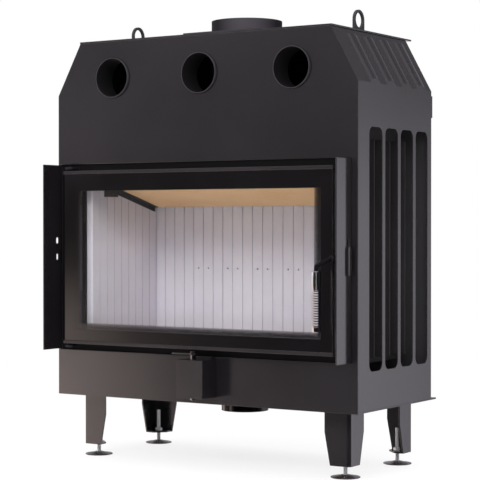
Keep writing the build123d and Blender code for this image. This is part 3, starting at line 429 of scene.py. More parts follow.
def cast_board(name, colour, pale, grain_and_shade_colour, grain_scale, grain_share, pore_depth, roughness,
               dark_bands=()):
    """A cast or pressed board: clouded colour, scattered grains, darker bands by height where given
    (such as painted shadow), and fine open pores.
    """
    material, tree, shader = start_finish(name)
    grain = use_effect(tree, surface_grain, cloud_scale=7.0, pebble_scale=620.0)
    chance, distance = crystals(tree, grain_scale)
    speck = multiply(tree, stretch(tree, chance, 1.0 - grain_share, 1.04 - grain_share),
                     stretch(tree, distance, 0.5, 0.3))
    tint = mix_colours(tree, grain["Cloud"], colour, pale)
    tint = mix_colours(tree, multiply(tree, speck, GRAIN_STRENGTH), tint, grain_and_shade_colour)
    # Darker bands by height: painted shadow under the baffle, and a darker band low down.
    for plain_height, dark_height, amount in dark_bands:
        darkened_part = stretch(tree, own_axes(tree)["Z"], plain_height, dark_height, 0.0, amount)
        tint = mix_colours(tree, darkened_part, tint, grain_and_shade_colour)
    fill_inputs(tree, shader, {
        "Base Color": tint, "Specular IOR Level": 0.3,
        "Roughness": stretch(tree, grain["Cloud"], 0.0, 1.0, roughness, roughness - 0.08)})
    edges = use_effect(tree, edge_rub, radius=0.0012, amount=0.0)
    height = calculate(tree, "SUBTRACT", grain["Pebble"], multiply(tree, speck, 0.5))
    add_bump(tree, shader, height, pore_depth, edges["Normal"])
    return material


# The boards are darker towards the bottom, and painted shadow darkens them under the baffle: (plain
# height, dark height, how much).
LINING_DARK_BANDS = ((0.37, 0.31, 0.5), (0.53, 0.63, 0.45))
for finish_name, board_nodes, colour, pale, dark_bands in (
        ("fireclay", LINING_NODES, LINING_COLOUR, LINING_PALE, LINING_DARK_BANDS),
        ("hearth_fireclay", ["hearth_slab"], HEARTH_COLOUR, HEARTH_PALE, ())):
    cover_nodes(cast_board(finish_name, colour, pale, LINING_GRAIN_AND_SHADE, LINING_GRAIN_SCALE,
                           LINING_GRAIN_SHARE, LINING_PORE_DEPTH, LINING_ROUGHNESS, dark_bands),
                board_nodes)


# ------------------------------------------------------------------ baffle
# The loose sloping smoke board: 25 mm of pressed mica flakes, golden buff, soft enough to
# mark with a nail, with glinting flakes and crumbly edges.
BAFFLE_COLOUR = (0.86, 0.545, 0.265)
BAFFLE_PALE = (0.92, 0.62, 0.33)
BAFFLE_FLAKE = (0.50, 0.29, 0.13)
FLAKE_SCALE = 260.0
FLAKE_SHARE = 0.32
FLAKE_DEPTH = 0.0005
pressed_board = cast_board("pressed_board", BAFFLE_COLOUR, BAFFLE_PALE, BAFFLE_FLAKE, FLAKE_SCALE,
                           FLAKE_SHARE, FLAKE_DEPTH, 0.8)
cover_nodes(pressed_board, ["baffle"])


# ------------------------------------------------------------------ bright hardware
# Zinc-plated turned steel: the bolts and nuts of the legs and feet. The plating is bluish
# bright with faint turning rings and a little finger grease; other parts wear it darkened.
ZINC_COLOUR = (0.86, 0.865, 0.88)
ZINC_DULL = (0.74, 0.745, 0.76)
TURNING_RINGS = 900.0


def fill_clouded(tree, shader, cloud, colour, dull, roughness, metal):
    """Passes a finish from one colour and roughness to another by a mask from 0 to 1."""
    fill_inputs(tree, shader, {"Base Color": mix_colours(tree, cloud, colour, dull),
                               "Roughness": stretch(tree, cloud, 0.0, 1.0, *roughness),
                               "Metallic": metal})


def plated_steel(name, bright, dull, roughness, ring_depth, metal=1.0):
    """Bright plated steel with fine level turning rings."""
    material, tree, shader = start_finish(name)
    cloud = use_effect(tree, surface_grain, cloud_scale=45.0, pebble_scale=1500.0)["Cloud"]
    level = place_node(tree, "Mapping", {"Vector": own_place(tree), "Scale": (8.0, 8.0, 1.0)})
    rings = noise(tree, TURNING_RINGS, 2.0, place=level.outputs["Vector"])
    fill_clouded(tree, shader, cloud, bright, dull, roughness, metal)
    edges = use_effect(tree, edge_rub, radius=0.0005, amount=0.0)
    add_bump(tree, shader, rings, ring_depth, edges["Normal"])
    return material


zinc_plate = plated_steel("zinc_plate", ZINC_COLOUR, ZINC_DULL, (0.40, 0.55), 0.00001, 0.6)


# ------------------------------------------------------------------ air inlet spigot
# The round stub under the base for the outside-air pipe: 1.5 mm sheet rolled, seam-welded and
# passivated dark, with the dull patches that dipped zinc leaves under the passivation.
GALVANISED_LIGHT = (0.052, 0.050, 0.053)
GALVANISED_DARK = (0.036, 0.034, 0.037)
CRYSTAL_SCALE = 110.0
galvanised, tree, shader = start_finish("passivated_sheet")
crystal, distance = crystals(tree, CRYSTAL_SCALE)
fill_clouded(tree, shader, crystal, GALVANISED_DARK, GALVANISED_LIGHT, (0.16, 0.24), 1.0)
add_bump(tree, shader, distance, 0.00005)
cover_nodes(galvanised, ["air_inlet_spigot"])


# ------------------------------------------------------------------ air control
# The air lever under the door turns an upright spindle in the small box on the lower front.
# Lever and box are painted sheet; the spindle is dark plated bar held by a nut at each end.
LEVER_NODES = ["control_cover", "air_lever"]
SPINDLE_RADIUS = 0.004
THREAD_STEPS = 20
THREAD_ROWS = 6
NUT_SIDES = 72
cover_nodes(jacket_paint, LEVER_NODES)


def thread_skin(x, y, low, high, radius, pitch, depth):
    """Points and faces of an upright threaded bar with a chamfered tip at both ends."""
    rows = ceil((high - low) / pitch * THREAD_ROWS)
    points = []
    for row in range(rows + 1):
        z = low + (high - low) * row / rows
        tip = min(z - low, high - z, depth)
        for step in range(THREAD_STEPS):
            share = step / THREAD_STEPS
            phase = ((z - low) / pitch - share) % 1.0
            ridge = 1.0 - abs(2.0 * phase - 1.0)
            reach = radius - depth + tip * min(1.0, 1.4 * ridge)
            points.append((x + reach * cos(2 * pi * share), y + reach * sin(2 * pi * share), z))
    return points, tube_faces(rows + 1, THREAD_STEPS, False)


def hexagon_skin(x, y, width, rows, closed):
    """Points and faces of level rings, each (height, kind, radius, tilt of its corners)."""
    points = []
    for z, kind, radius, tilt in rows:
        for step in range(NUT_SIDES):
            angle = 2 * pi * step / NUT_SIDES
            flat = width / 2 / cos((angle + pi / 6) % (pi / 3) - pi / 6)
            reach = {"round": radius, "cut": min(flat, radius), "full": flat}[kind]
            rise = tilt * max(0.0, flat - radius) * tan(radians(30))
            points.append((x + reach * cos(angle), y + reach * sin(angle), z + rise))
    return points, tube_faces(len(rows), NUT_SIDES, closed)


def nut_skin(x, y, low, high, width, bore):
    """Points and faces of a hexagon nut: chamfered corners and a countersunk hole."""
    cut, land, sink = width / 2 * 0.99, 0.0001, 0.0006
    return hexagon_skin(x, y, width, [
        (low, "cut", cut, 0), (low + land, "full", cut, 1), (high - land, "full", cut, -1),
        (high, "cut", cut, 0), (high, "round", bore + sink, 0), (high - sink, "round", bore, 0),
        (low + sink, "round", bore, 0), (low, "round", bore + sink, 0)], True)


def turned_skin(x, y, outline, sides=64, closed=False):
    """Points and faces turned about an upright axis from (radius, height) points."""
    points = [point for radius, height in outline
              for point in level_ring(x, y, height, radius, sides)]
    return points, tube_faces(len(outline), sides, closed)


NUT_HEIGHT = 0.0045
NUT_WIDTH = 0.013
SPINDLE_BRIGHT = (0.30, 0.29, 0.30)
SPINDLE_DULL = (0.20, 0.195, 0.20)
nuts_low, nuts_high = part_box("spindle_nuts")
spindle_x, spindle_y = (nuts_low.x + nuts_high.x) / 2, (nuts_low.y + nuts_high.y) / 2
dark_plate = plated_steel("dark_plate", SPINDLE_BRIGHT, SPINDLE_DULL, (0.10, 0.20), 0.00001)
add_piece("spindle_nut_set", *joined_skin(*[
    nut_skin(spindle_x, spindle_y, low, low + NUT_HEIGHT, NUT_WIDTH, SPINDLE_RADIUS)
    for low in (nuts_high.z - NUT_HEIGHT, nuts_low.z)]),
    dark_plate, "air_control", "bright_steel", replaces="spindle_nuts")
cover_nodes(dark_plate, ["air_spindle"])


# ------------------------------------------------------------------ door glass and its print
# One 4 mm ceramic pane covers the whole door. A gloss black ceramic border is printed and
# fired on its face, ending in a honeycomb of shrinking dots; the middle is clear, faintly smoky.
BORDER_SIDE = 0.033
BORDER_BOTTOM = 0.0335
BORDER_TOP = 0.0470
PRINT_THICKNESS = 0.00006
PANE_CHAMFER = 0.0008
DOT_PITCH = 0.0031
DOT_RADII = (0.00176, 0.00174, 0.00171, 0.00166, 0.00158, 0.00130)
DOT_ROW = 0.0027
DOT_SIDES = 6
PRINT_COLOUR = (0.0022, 0.0018, 0.0021)
PRINT_PALE = (0.0036, 0.0030, 0.0034)
PANE_COLOUR = (0.035, 0.033, 0.036)

pane_glass, tree, shader = start_finish("ceramic_glass")
cloud = use_effect(tree, surface_grain, cloud_scale=9.0, pebble_scale=60.0)["Cloud"]
facing = place_node(tree, "LayerWeight", {"Blend": 0.22}).outputs["Facing"]
fill_inputs(tree, shader, {"Base Color": PANE_COLOUR,
                           "Roughness": stretch(tree, cloud, 0.0, 1.0, 0.015, 0.04),
                           "Alpha": stretch(tree, facing, 0.0, 0.8, 0.05, 0.50)})
cover_nodes(pane_glass, ["door_glass"])

fired_print, tree, shader = start_finish("fired_black_print")
grain = use_effect(tree, surface_grain, cloud_scale=12.0, pebble_scale=1100.0)
fill_clouded(tree, shader, grain["Cloud"], PRINT_COLOUR, PRINT_PALE, (0.05, 0.09), 0.0)
add_bump(tree, shader, grain["Pebble"], 0.000004)

pane_low, pane_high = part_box("door_glass")
clear_low = Vector((pane_low.x + BORDER_SIDE, 0, pane_low.z + BORDER_BOTTOM))
clear_high = Vector((pane_high.x - BORDER_SIDE, 0, pane_high.z - BORDER_TOP))
print_back = pane_low.y
print_front = print_back - PRINT_THICKNESS


border_outer = (pane_low.x + PANE_CHAMFER, pane_high.x - PANE_CHAMFER,
                pane_low.z + PANE_CHAMFER, pane_high.z - PANE_CHAMFER)
border_inner = (clear_low.x, clear_high.x, clear_low.z, clear_high.z)
border_points = []
for (left, right, low, high), depth in ((border_outer, print_front), (border_inner, print_front),
                                        (border_inner, print_back), (border_outer, print_back)):
    border_points += [(left, depth, low), (right, depth, low), (right, depth, high),
                      (left, depth, high)]
add_piece("door_print_border", border_points, tube_faces(4, 4, True), fired_print, "door",
          "door_glass", smooth=False)


def print_dots():
    """Flat six-sided dots on one honeycomb, the smaller the further from the border."""
    points, faces = [], []
    width, height = clear_high.x - clear_low.x, clear_high.z - clear_low.z
    columns = round(width / (DOT_PITCH * 0.866))
    for column in range(columns):
        x = clear_low.x + width * (column + 0.5) / columns
        for row in range(int(height / DOT_PITCH)):
            z = clear_low.z + DOT_PITCH * (row + (0.5 if column % 2 else 1.0))
            place = int(min(x - clear_low.x, clear_high.x - x, z - clear_low.z) / DOT_ROW)
            if place < len(DOT_RADII):
                faces += tube_faces(2, DOT_SIDES, False, len(points))
                points += [(x + DOT_RADII[place] * cos(2 * pi * side / DOT_SIDES), depth,
                            z + DOT_RADII[place] * sin(2 * pi * side / DOT_SIDES))
                           for depth in (print_back, print_front) for side in range(DOT_SIDES)]
    return points, faces


add_piece("door_print_dots", *print_dots(), fired_print, "door", "door_glass", smooth=False)


# ------------------------------------------------------------------ door steel
# The door's pressed frame, the two rails that clamp the glass, the hinge lugs, the latch
# bearing and keeper: bent and machined mild steel in satin black, rubbed along the bends.
DOOR_NODES = ["door_frame", "door_rails", "hinge_brackets", "latch_bearing", "latch_catch"]
DOOR_COLOUR = (0.011, 0.0095, 0.011)
DOOR_PALE = (0.017, 0.015, 0.017)
DOOR_RUBBED = (0.10, 0.095, 0.10)
door_paint = sprayed_paint("door_paint", DOOR_COLOUR, DOOR_PALE, DOOR_RUBBED, (0.22, 0.30),
                           0.00002, SHEET_ROUNDING, 0.5)
cover_nodes(door_paint, DOOR_NODES)


# ------------------------------------------------------------------ seals
# The door closes on a 10 mm rope of braided glass fibre glued in the frame's groove, and the
# pane beds on a flat woven tape of the same yarn. Both are charcoal grey, dull and fuzzy.
ROPE_RADIUS = 0.005
ROPE_CORNER = 0.014
ROPE_STRANDS = 5
ROPE_LAY = 0.034
ROPE_STEP = 0.0027
STRAND_HALF_WIDTH = 0.0017
STRAND_HALF_THICKNESS = 0.00055
STRAND_SIDES = 6
TAPE_WIDTH = 0.020
TAPE_RIB = 0.003
TAPE_YARNS = 7
TAPE_RELIEF = 0.00022
FIBRE_COLOUR = (0.055, 0.054, 0.056)
FIBRE_PALE = (0.12, 0.118, 0.12)
FIBRE_SCALE = 1800.0
YARN_CLOUDS = 60.0

glass_yarn, tree, shader = start_finish("glass_fibre_yarn")
fibres = noise(tree, FIBRE_SCALE, 3.0)
paler = stretch(tree, multiply(tree, fibres, noise(tree, YARN_CLOUDS, 3.0)), 0.15, 0.4)
fill_inputs(tree, shader, {"Base Color": mix_colours(tree, paler, FIBRE_COLOUR, FIBRE_PALE),
                           "Roughness": stretch(tree, fibres, 0.3, 0.7, 0.8, 0.95),
                           "Sheen Weight": 0.25})
add_bump(tree, shader, fibres, 0.0002)


def rounded_loop(half_width, half_height, corner, step):
    """Points (x, z) and outward directions round a rectangle with round corners."""
    straight_x, straight_z = half_width - corner, half_height - corner
    quarter = corner * pi / 2
    sides = [(-straight_x, -half_height, 1, 0, 2 * straight_x, -pi / 2),
             (half_width, -straight_z, 0, 1, 2 * straight_z, 0.0),
             (straight_x, half_height, -1, 0, 2 * straight_x, pi / 2),
             (-half_width, straight_z, 0, -1, 2 * straight_z, pi)]
    loop = []
    for x, z, along_x, along_z, length, angle in sides:
        count = ceil(length / step)
        for index in range(count):
            reach = length * index / count
            loop.append((x + along_x * reach, z + along_z * reach, cos(angle), sin(angle)))
        centre_x = x + along_x * length - corner * cos(angle)
        centre_z = z + along_z * length - corner * sin(angle)
        count = ceil(quarter / step)
        for index in range(count):
            turned = angle + pi / 2 * index / count
            loop.append((centre_x + corner * cos(turned), centre_z + corner * sin(turned),
                         cos(turned), sin(turned)))
    return loop


seal_low, seal_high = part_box("door_seal")
seal_middle = (seal_low + seal_high) / 2
rope_line = rounded_loop((seal_high.x - seal_low.x) / 2 - ROPE_RADIUS,
                         (seal_high.z - seal_low.z) / 2 - ROPE_RADIUS, ROPE_CORNER, ROPE_STEP)
rope_turns = round(len(rope_line) * ROPE_STEP / ROPE_LAY)


def rope_strand(start_angle, hand):
    """One flat yarn of the braid, over one neighbour and under the next all the way round."""
    points = []
    for index, (x, z, out_x, out_z) in enumerate(rope_line):
        turned = hand * 2 * pi * rope_turns * index / len(rope_line)
        angle = start_angle + turned
        crossing = sin(ROPE_STRANDS * (start_angle + hand * 2 * turned))
        reach = ROPE_RADIUS - 2 * STRAND_HALF_THICKNESS + hand * crossing * STRAND_HALF_THICKNESS
        outward = Vector((out_x * cos(angle), sin(angle), out_z * cos(angle)))
        aside = Vector((-out_x * sin(angle), cos(angle), -out_z * sin(angle)))
        middle = Vector((seal_middle.x + x, seal_middle.y, seal_middle.z + z)) + reach * outward
        for side in range(STRAND_SIDES):
            around = 2 * pi * side / STRAND_SIDES
            points.append(middle + STRAND_HALF_WIDTH * cos(around) * aside
                          + STRAND_HALF_THICKNESS * sin(around) * outward)
    return points, tube_faces(len(rope_line), STRAND_SIDES, True)


def rope_core():
    """The plain core under the braid."""
    points = []
    for x, z, out_x, out_z in rope_line:
        for side in range(STRAND_SIDES + 4):
            angle = 2 * pi * side / (STRAND_SIDES + 4)
            reach = ROPE_RADIUS - 2.4 * STRAND_HALF_THICKNESS
            points.append((seal_middle.x + x + reach * out_x * cos(angle),
                           seal_middle.y + reach * sin(angle),
                           seal_middle.z + z + reach * out_z * cos(angle)))
    return points, tube_faces(len(rope_line), STRAND_SIDES + 4, True)


strands = [rope_strand(2 * pi * index / ROPE_STRANDS, hand)
           for hand in (1, -1) for index in range(ROPE_STRANDS)]
add_piece("braided_door_rope", *joined_skin(rope_core(), *strands), glass_yarn, "door", "rope",
          replaces="door_seal")

tape_low, tape_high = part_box("glass_gasket")
tape_middle = (tape_low + tape_high) / 2
tape_half = (tape_high - tape_low) / 2
tape_corners = ((-1, -1), (1, -1), (1, 1), (-1, 1))
tape_across = range(2 * TAPE_YARNS + 1)
tape_points = []
for corner in range(4):
    (from_x, from_z), (to_x, to_z) = tape_corners[corner], tape_corners[(corner + 1) % 4]
    rib_count = round(2 * (tape_half.z if corner % 2 else tape_half.x) / TAPE_RIB) * 2
    for rib in range(rib_count):
        share = rib / rib_count
        for face_side in (1, -1):
            for place in tape_across if face_side > 0 else reversed(tape_across):
                inset = TAPE_WIDTH * place / (2 * TAPE_YARNS)
                depth = tape_half.y - TAPE_RELIEF * (1 - (place + rib) % 2)
                tape_points.append(tape_middle + Vector((
                    (tape_half.x - inset) * (from_x + (to_x - from_x) * share),
                    face_side * depth,
                    (tape_half.z - inset) * (from_z + (to_z - from_z) * share))))
tape_sides = 2 * len(tape_across)
add_piece("woven_glass_tape", tape_points,
          tube_faces(len(tape_points) // tape_sides, tape_sides, True), glass_yarn, "door", "rope",
          replaces="glass_gasket")


# ------------------------------------------------------------------ hinges
# Two headed pins in flat lugs carry the door, one above and one below, with a turned washer
# between each lug and the door. Blackened steel, the pin heads domed, the washers chamfered.
BLACKENED_COLOUR = (0.10, 0.095, 0.10)
BLACKENED_DULL = (0.05, 0.048, 0.052)
PIN_RADIUS = 0.004
PIN_HEAD_RADIUS = 0.0065
PIN_HEAD_HEIGHT = 0.002
WASHER_RADIUS = 0.008
WASHER_HEIGHT = 0.004
PIN_LENGTH = 0.0293
pins_low, pins_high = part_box("hinge_pins")
hinge_x = (pins_low.x + pins_high.x) / 2
hinge_y = (pins_low.y + pins_high.y) / 2


def domed_pin(head_z, inward):
    """A pin that runs inward from the flat of its domed head."""
    seat = head_z + inward * PIN_HEAD_HEIGHT
    outline = [(0.0005, head_z), (PIN_HEAD_RADIUS * 0.55, head_z + inward * 0.0002),
               (PIN_HEAD_RADIUS * 0.85, head_z + inward * 0.0007),
               (PIN_HEAD_RADIUS, head_z + inward * 0.0014), (PIN_HEAD_RADIUS, seat),
               (PIN_RADIUS, seat), (PIN_RADIUS, seat + inward * (PIN_LENGTH - 0.001)),
               (PIN_RADIUS - 0.001, seat + inward * PIN_LENGTH)]
    return turned_skin(hinge_x, hinge_y, outline if inward > 0 else outline[::-1], 32)


def washer_skin(low, high):
    """A washer with chamfered edges."""
    chamfer = 0.0006
    outline = [(PIN_RADIUS + 0.0001, low), (WASHER_RADIUS - chamfer, low),
               (WASHER_RADIUS, low + chamfer), (WASHER_RADIUS, high - chamfer),
               (WASHER_RADIUS - chamfer, high), (PIN_RADIUS + 0.0001, high)]
    return turned_skin(hinge_x, hinge_y, outline, 40, True)


blackened_steel = plated_steel("blackened_steel", BLACKENED_COLOUR, BLACKENED_DULL, (0.30, 0.42),
                               0.00002)
add_piece("domed_hinge_pins", *joined_skin(domed_pin(pins_low.z, 1), domed_pin(pins_high.z, -1)),
          blackened_steel, "insert", "bright_steel", replaces="hinge_pins")
washers_low, washers_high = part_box("hinge_washers")
add_piece("chamfered_hinge_washers", *joined_skin(*[
    washer_skin(low, low + WASHER_HEIGHT)
    for low in (washers_low.z, washers_high.z - WASHER_HEIGHT)]),
    blackened_steel, "insert", "bright_steel", replaces="hinge_washers")


# ------------------------------------------------------------------ handle
# A bent black bar carries an upright grip turned from bar: a smooth head, a long row of
# rounded beads that stay cool to the hand, and a smooth foot. The grip is chrome plated.
GRIP_PLAIN_TOP = 0.042
GRIP_PLAIN_BOTTOM = 0.012
GRIP_BEAD_DEPTH = 0.0011
GRIP_BEADS = 15
GRIP_END_ROUNDING = 0.002
ARC_STEPS = 8
CHROME_COLOUR = (0.86, 0.865, 0.875)
CHROME_DULL = (0.80, 0.80, 0.81)
ARM_COLOUR = (0.0040, 0.0035, 0.0040)
ARM_PALE = (0.0065, 0.0058, 0.0065)
ARM_RUBBED = (0.03, 0.028, 0.03)

chrome, tree, shader = start_finish("chrome_plate")
grain = use_effect(tree, surface_grain, cloud_scale=70.0, pebble_scale=1600.0)
fill_clouded(tree, shader, grain["Cloud"], CHROME_COLOUR, CHROME_DULL, (0.02, 0.05), 1.0)
add_bump(tree, shader, grain["Pebble"], 0.000001)

grip_low, grip_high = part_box("handle_grip")
grip_middle = (grip_low + grip_high) / 2
grip_radius = (grip_high.x - grip_low.x) / 2
bead_low = grip_low.z + GRIP_PLAIN_BOTTOM
bead_high = grip_high.z - GRIP_PLAIN_TOP
end_arc = []
for step in range(ARC_STEPS + 1):
    angle = pi / 2 * step / ARC_STEPS
    end_arc.append((grip_radius - GRIP_END_ROUNDING * (1 - sin(angle)),
                    GRIP_END_ROUNDING * (1 - cos(angle))))
grip_outline = [(0.0004, grip_low.z)] + [(reach, grip_low.z + rise) for reach, rise in end_arc]
grip_outline.append((grip_radius, bead_low - 0.0005))
for bead in range(GRIP_BEADS):
    for step in range(ARC_STEPS + 1):
        share = step / ARC_STEPS
        swell = (1 - (2 * share - 1) ** 2) ** 0.5
        grip_outline.append((grip_radius - GRIP_BEAD_DEPTH * (1 - swell),
                             bead_low + (bead_high - bead_low) * (bead + 0.04 + 0.92 * share)
                             / GRIP_BEADS))
grip_outline.append((grip_radius, bead_high + 0.0005))
grip_outline += [(reach, grip_high.z - rise) for reach, rise in reversed(end_arc)]
grip_outline.append((0.0004, grip_high.z))
add_piece("turned_chrome_grip", *turned_skin(grip_middle.x, grip_middle.y, grip_outline, 72),
          chrome, "handle", "grip_chrome", replaces="handle_grip", sharp_angle=50.0)
arm_paint = sprayed_paint("arm_paint", ARM_COLOUR, ARM_PALE, ARM_RUBBED, (0.45, 0.55), 0.00002,
                          SHEET_ROUNDING, 0.08)
cover_nodes(arm_paint, ["handle_arm"])
cover_nodes(blackened_steel, ["latch_shaft"])


# ------------------------------------------------------------------ legs
# Four legs folded from 4 mm plate, tapering downwards, with a flange under the base and a
# small plate at the foot. They are bolted on with plated hexagon bolts, two for each leg.
LEG_NODES = ["leg_front_left", "leg_front_right", "leg_back_left", "leg_back_right"]
LEG_BOLT_HEAD = 0.013
LEG_BOLT_HEAD_HEIGHT = 0.005
LEG_BOLT_OFFSET = 0.044
LEG_BOLT_RADIUS = 0.004
LEG_BOLT_PITCH = 0.00125
LEG_THREAD_DEPTH = 0.0006
LEG_SHEET = 0.004
cover_nodes(jacket_paint, LEG_NODES)


def bolt_head_skin(x, y, low, high, width):
    """A hexagon bolt head with chamfered lower corners and a washer face on top."""
    cut, washer_face, face_height = width / 2 * 0.98, width / 2 * 0.97, 0.0005
    return hexagon_skin(x, y, width, [
        (low, "round", width * 0.3, 0), (low, "cut", cut, 0), (low, "full", cut, 1),
        (high - face_height, "full", cut, 0), (high - face_height, "round", washer_face, 0),
        (high, "round", washer_face, 0)], False)


bolts_low, bolts_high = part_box("leg_bolts")
head_top = bolts_low.z + LEG_BOLT_HEAD_HEIGHT
bolt_skins = []
for leg_name in LEG_NODES:
    leg_low, leg_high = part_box(leg_name)
    outer_x = leg_low.x if leg_low.x < 0 else leg_high.x
    inward_x = 1 if leg_low.x < 0 else -1
    outer_y, inward_y = (leg_low.y, 1) if "front" in leg_name else (leg_high.y, -1)
    near = LEG_SHEET + LEG_BOLT_HEAD
    for reach_x, reach_y in ((LEG_BOLT_OFFSET, near), (near, LEG_BOLT_OFFSET)):
        bolt_x, bolt_y = outer_x + inward_x * reach_x, outer_y + inward_y * reach_y
        bolt_skins += [bolt_head_skin(bolt_x, bolt_y, bolts_low.z, head_top, LEG_BOLT_HEAD),
                       thread_skin(bolt_x, bolt_y, head_top, bolts_high.z, LEG_BOLT_RADIUS,
                                   LEG_BOLT_PITCH, LEG_THREAD_DEPTH)]
add_piece("threaded_leg_bolts", *joined_skin(*bolt_skins), zinc_plate, "insert", "bright_steel",
          replaces="leg_bolts")


# ------------------------------------------------------------------ screw feet
# Each leg stands on a levelling foot: a pressed pad of dull plated steel with a rolled rim and
# a hub, swaged on a long plated bolt that is locked by a nut on the leg's foot plate.
FOOT_NAMES = ["foot_front_left", "foot_front_right", "foot_back_left", "foot_back_right"]
FOOT_BOLT_RADIUS = 0.005
FOOT_BOLT_PITCH = 0.0015
FOOT_THREAD_DEPTH = 0.0004
FOOT_BOLT_FOOT = 0.0065
FOOT_NUT_WIDTH = 0.017
PAD_COLOUR = (0.10, 0.098, 0.10)
PAD_PALE = (0.26, 0.255, 0.26)
# The pad's outline: round the rolled rim (inward from the edge, height), then up over the hub.
PAD_RIM = ((0.0040, 0.0004), (0.0030, 0.0), (0.0010, 0.0), (0.0003, 0.0004), (0.0, 0.00125),
           (0.0003, 0.0022), (0.0012, 0.0025), (0.0030, 0.0022), (0.0042, 0.0026))
PAD_HUB = ((0.014, 0.0061), (0.011, 0.0071), (0.009, 0.0075), (0.006, 0.0075), (0.003, 0.0071))
pad_finish = plated_steel("foot_pad_finish", PAD_PALE, PAD_COLOUR, (0.22, 0.34), 0.00002)
foot_nuts_low, foot_nuts_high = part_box("foot_nuts")
foot_nut_skins = []
for foot_name in FOOT_NAMES:
    foot_low, foot_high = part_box(foot_name)
    foot_x, foot_y = (foot_low.x + foot_high.x) / 2, (foot_low.y + foot_high.y) / 2
    pad_radius = (foot_high.x - foot_low.x) / 2
    pad_outline = [(0.0004, foot_low.z + 0.0004)]
    pad_outline += [(pad_radius - inward, foot_low.z + height) for inward, height in PAD_RIM]
    pad_outline += [(radius, foot_low.z + height) for radius, height in PAD_HUB]
    add_piece(foot_name.replace("foot", "foot_pad"), *turned_skin(foot_x, foot_y, pad_outline),
              pad_finish, foot_name, "casing", replaces=foot_name, sharp_angle=60.0)
    add_piece(foot_name.replace("foot", "foot_bolt"),
              *thread_skin(foot_x, foot_y, foot_low.z + FOOT_BOLT_FOOT, foot_high.z,
                           FOOT_BOLT_RADIUS, FOOT_BOLT_PITCH, FOOT_THREAD_DEPTH),
              zinc_plate, foot_name, "bright_steel", replaces=foot_name)
    foot_nut_skins.append(nut_skin(foot_x, foot_y, foot_nuts_low.z, foot_nuts_high.z,
                                   FOOT_NUT_WIDTH, FOOT_BOLT_RADIUS))
add_piece("chamfered_foot_nuts", *joined_skin(*foot_nut_skins), zinc_plate, "insert",
          "bright_steel", replaces="foot_nuts")


# ------------------------------------------------------------------ studio
# A pale floor that fades into white, soft lamps above, in front and behind, and a surround
# that only gloss reflects: bright behind, above and far left, mostly dark in front.
FLOOR_HALF = 9.0
FLOOR_DEPTH = -0.0004
FLOOR_COLOUR = (0.86, 0.855, 0.85)
FLOOR_FADE = (0.10, 1.2, 0.76, 1.0)
GLOSS_FADE = (0.05, 0.25)
WORLD_LIGHT = (0.32, 1.45)

floor_mesh = bpy.data.meshes.new("studio_floor")
floor_mesh.from_pydata([(x * FLOOR_HALF, y * FLOOR_HALF, FLOOR_DEPTH)
                        for x, y in ((-1, -1), (1, -1), (1, 1), (-1, 1))], [], [(0, 1, 2, 3)])
floor = bpy.data.objects.new("studio_floor", floor_mesh)
bpy.context.scene.collection.objects.link(floor)
floor_finish, tree, shader = start_finish("studio_floor")
floor_mesh.materials.append(floor_finish)
fill_inputs(tree, shader, {"Base Color": FLOOR_COLOUR, "Roughness": 0.9,
                           "Specular IOR Level": 0.1})
distance = place_node(tree, "VectorMath", {0: own_place(tree)}, operation="LENGTH")
rays = place_node(tree, "LightPath").outputs
white = place_node(tree, "Emission", {"Color": (1, 1, 1), "Strength": 1.0})
clear = place_node(tree, "BsdfTransparent")
blend = shader.outputs["BSDF"]
for fade, ray, faded in ((FLOOR_FADE, "Is Camera Ray", white), (GLOSS_FADE, "Is Glossy Ray", clear)):
    share = multiply(tree, stretch(tree, distance.outputs["Value"], *fade), rays[ray])
    blend = place_node(tree, "MixShader", {0: share, 1: blend, 2: faded.outputs[0]}).outputs[0]
fill_inputs(tree, tree.nodes["Material Output"], {"Surface": blend})

world = bpy.data.worlds.new("studio_surround")
bpy.context.scene.world = world
world.use_nodes = True
tree = world.node_tree
tree.nodes.clear()
rays = place_node(tree, "LightPath").outputs
direction = place_node(tree, "SeparateXYZ",
                       {"Vector": place_node(tree, "TexCoord").outputs["Generated"]}).outputs
ahead = calculate(tree, "MAXIMUM", multiply(tree, direction["Y"], -1.0), 0.02)
slew = calculate(tree, "DIVIDE", multiply(tree, direction["X"], -1.0), ahead)


def patch(*ramps):
    """A patch of the surround: ramps multiplied, each (way, from, to, low value, high value)."""
    return multiply(tree, 1.0, *[stretch(tree, slew if way == "slew" else direction[way], *span)
                                 for way, *span in ramps])


# In front the patches add up: slew is how far to the left of straight ahead a ray leaves.
LOW_LEFT_END = ("slew", 1.25, 0.98)
UNDER_EYE = ("Z", -0.02, -0.06)
seen_in_gloss = 0.0
for ramps in ((("slew", 0.40, 0.56, 0.0, 0.042),),
              (("slew", 0.40, 0.56), ("Z", 0.07, 0.12, 0.0, 0.18)),
              (UNDER_EYE, ("slew", 0.64, 0.76, 0.0, 0.35), LOW_LEFT_END),
              (UNDER_EYE, ("slew", 0.73, 0.84, 0.0, 1.9), LOW_LEFT_END),
              (("Z", 0.02, 0.04), ("Z", 0.10, 0.05), ("slew", 0.76, 0.84, 0.0, 0.5)),
              (("slew", 0.28, 0.46, 0.008, 0.10),)):
    seen_in_gloss = calculate(tree, "ADD", seen_in_gloss, patch(*ramps))
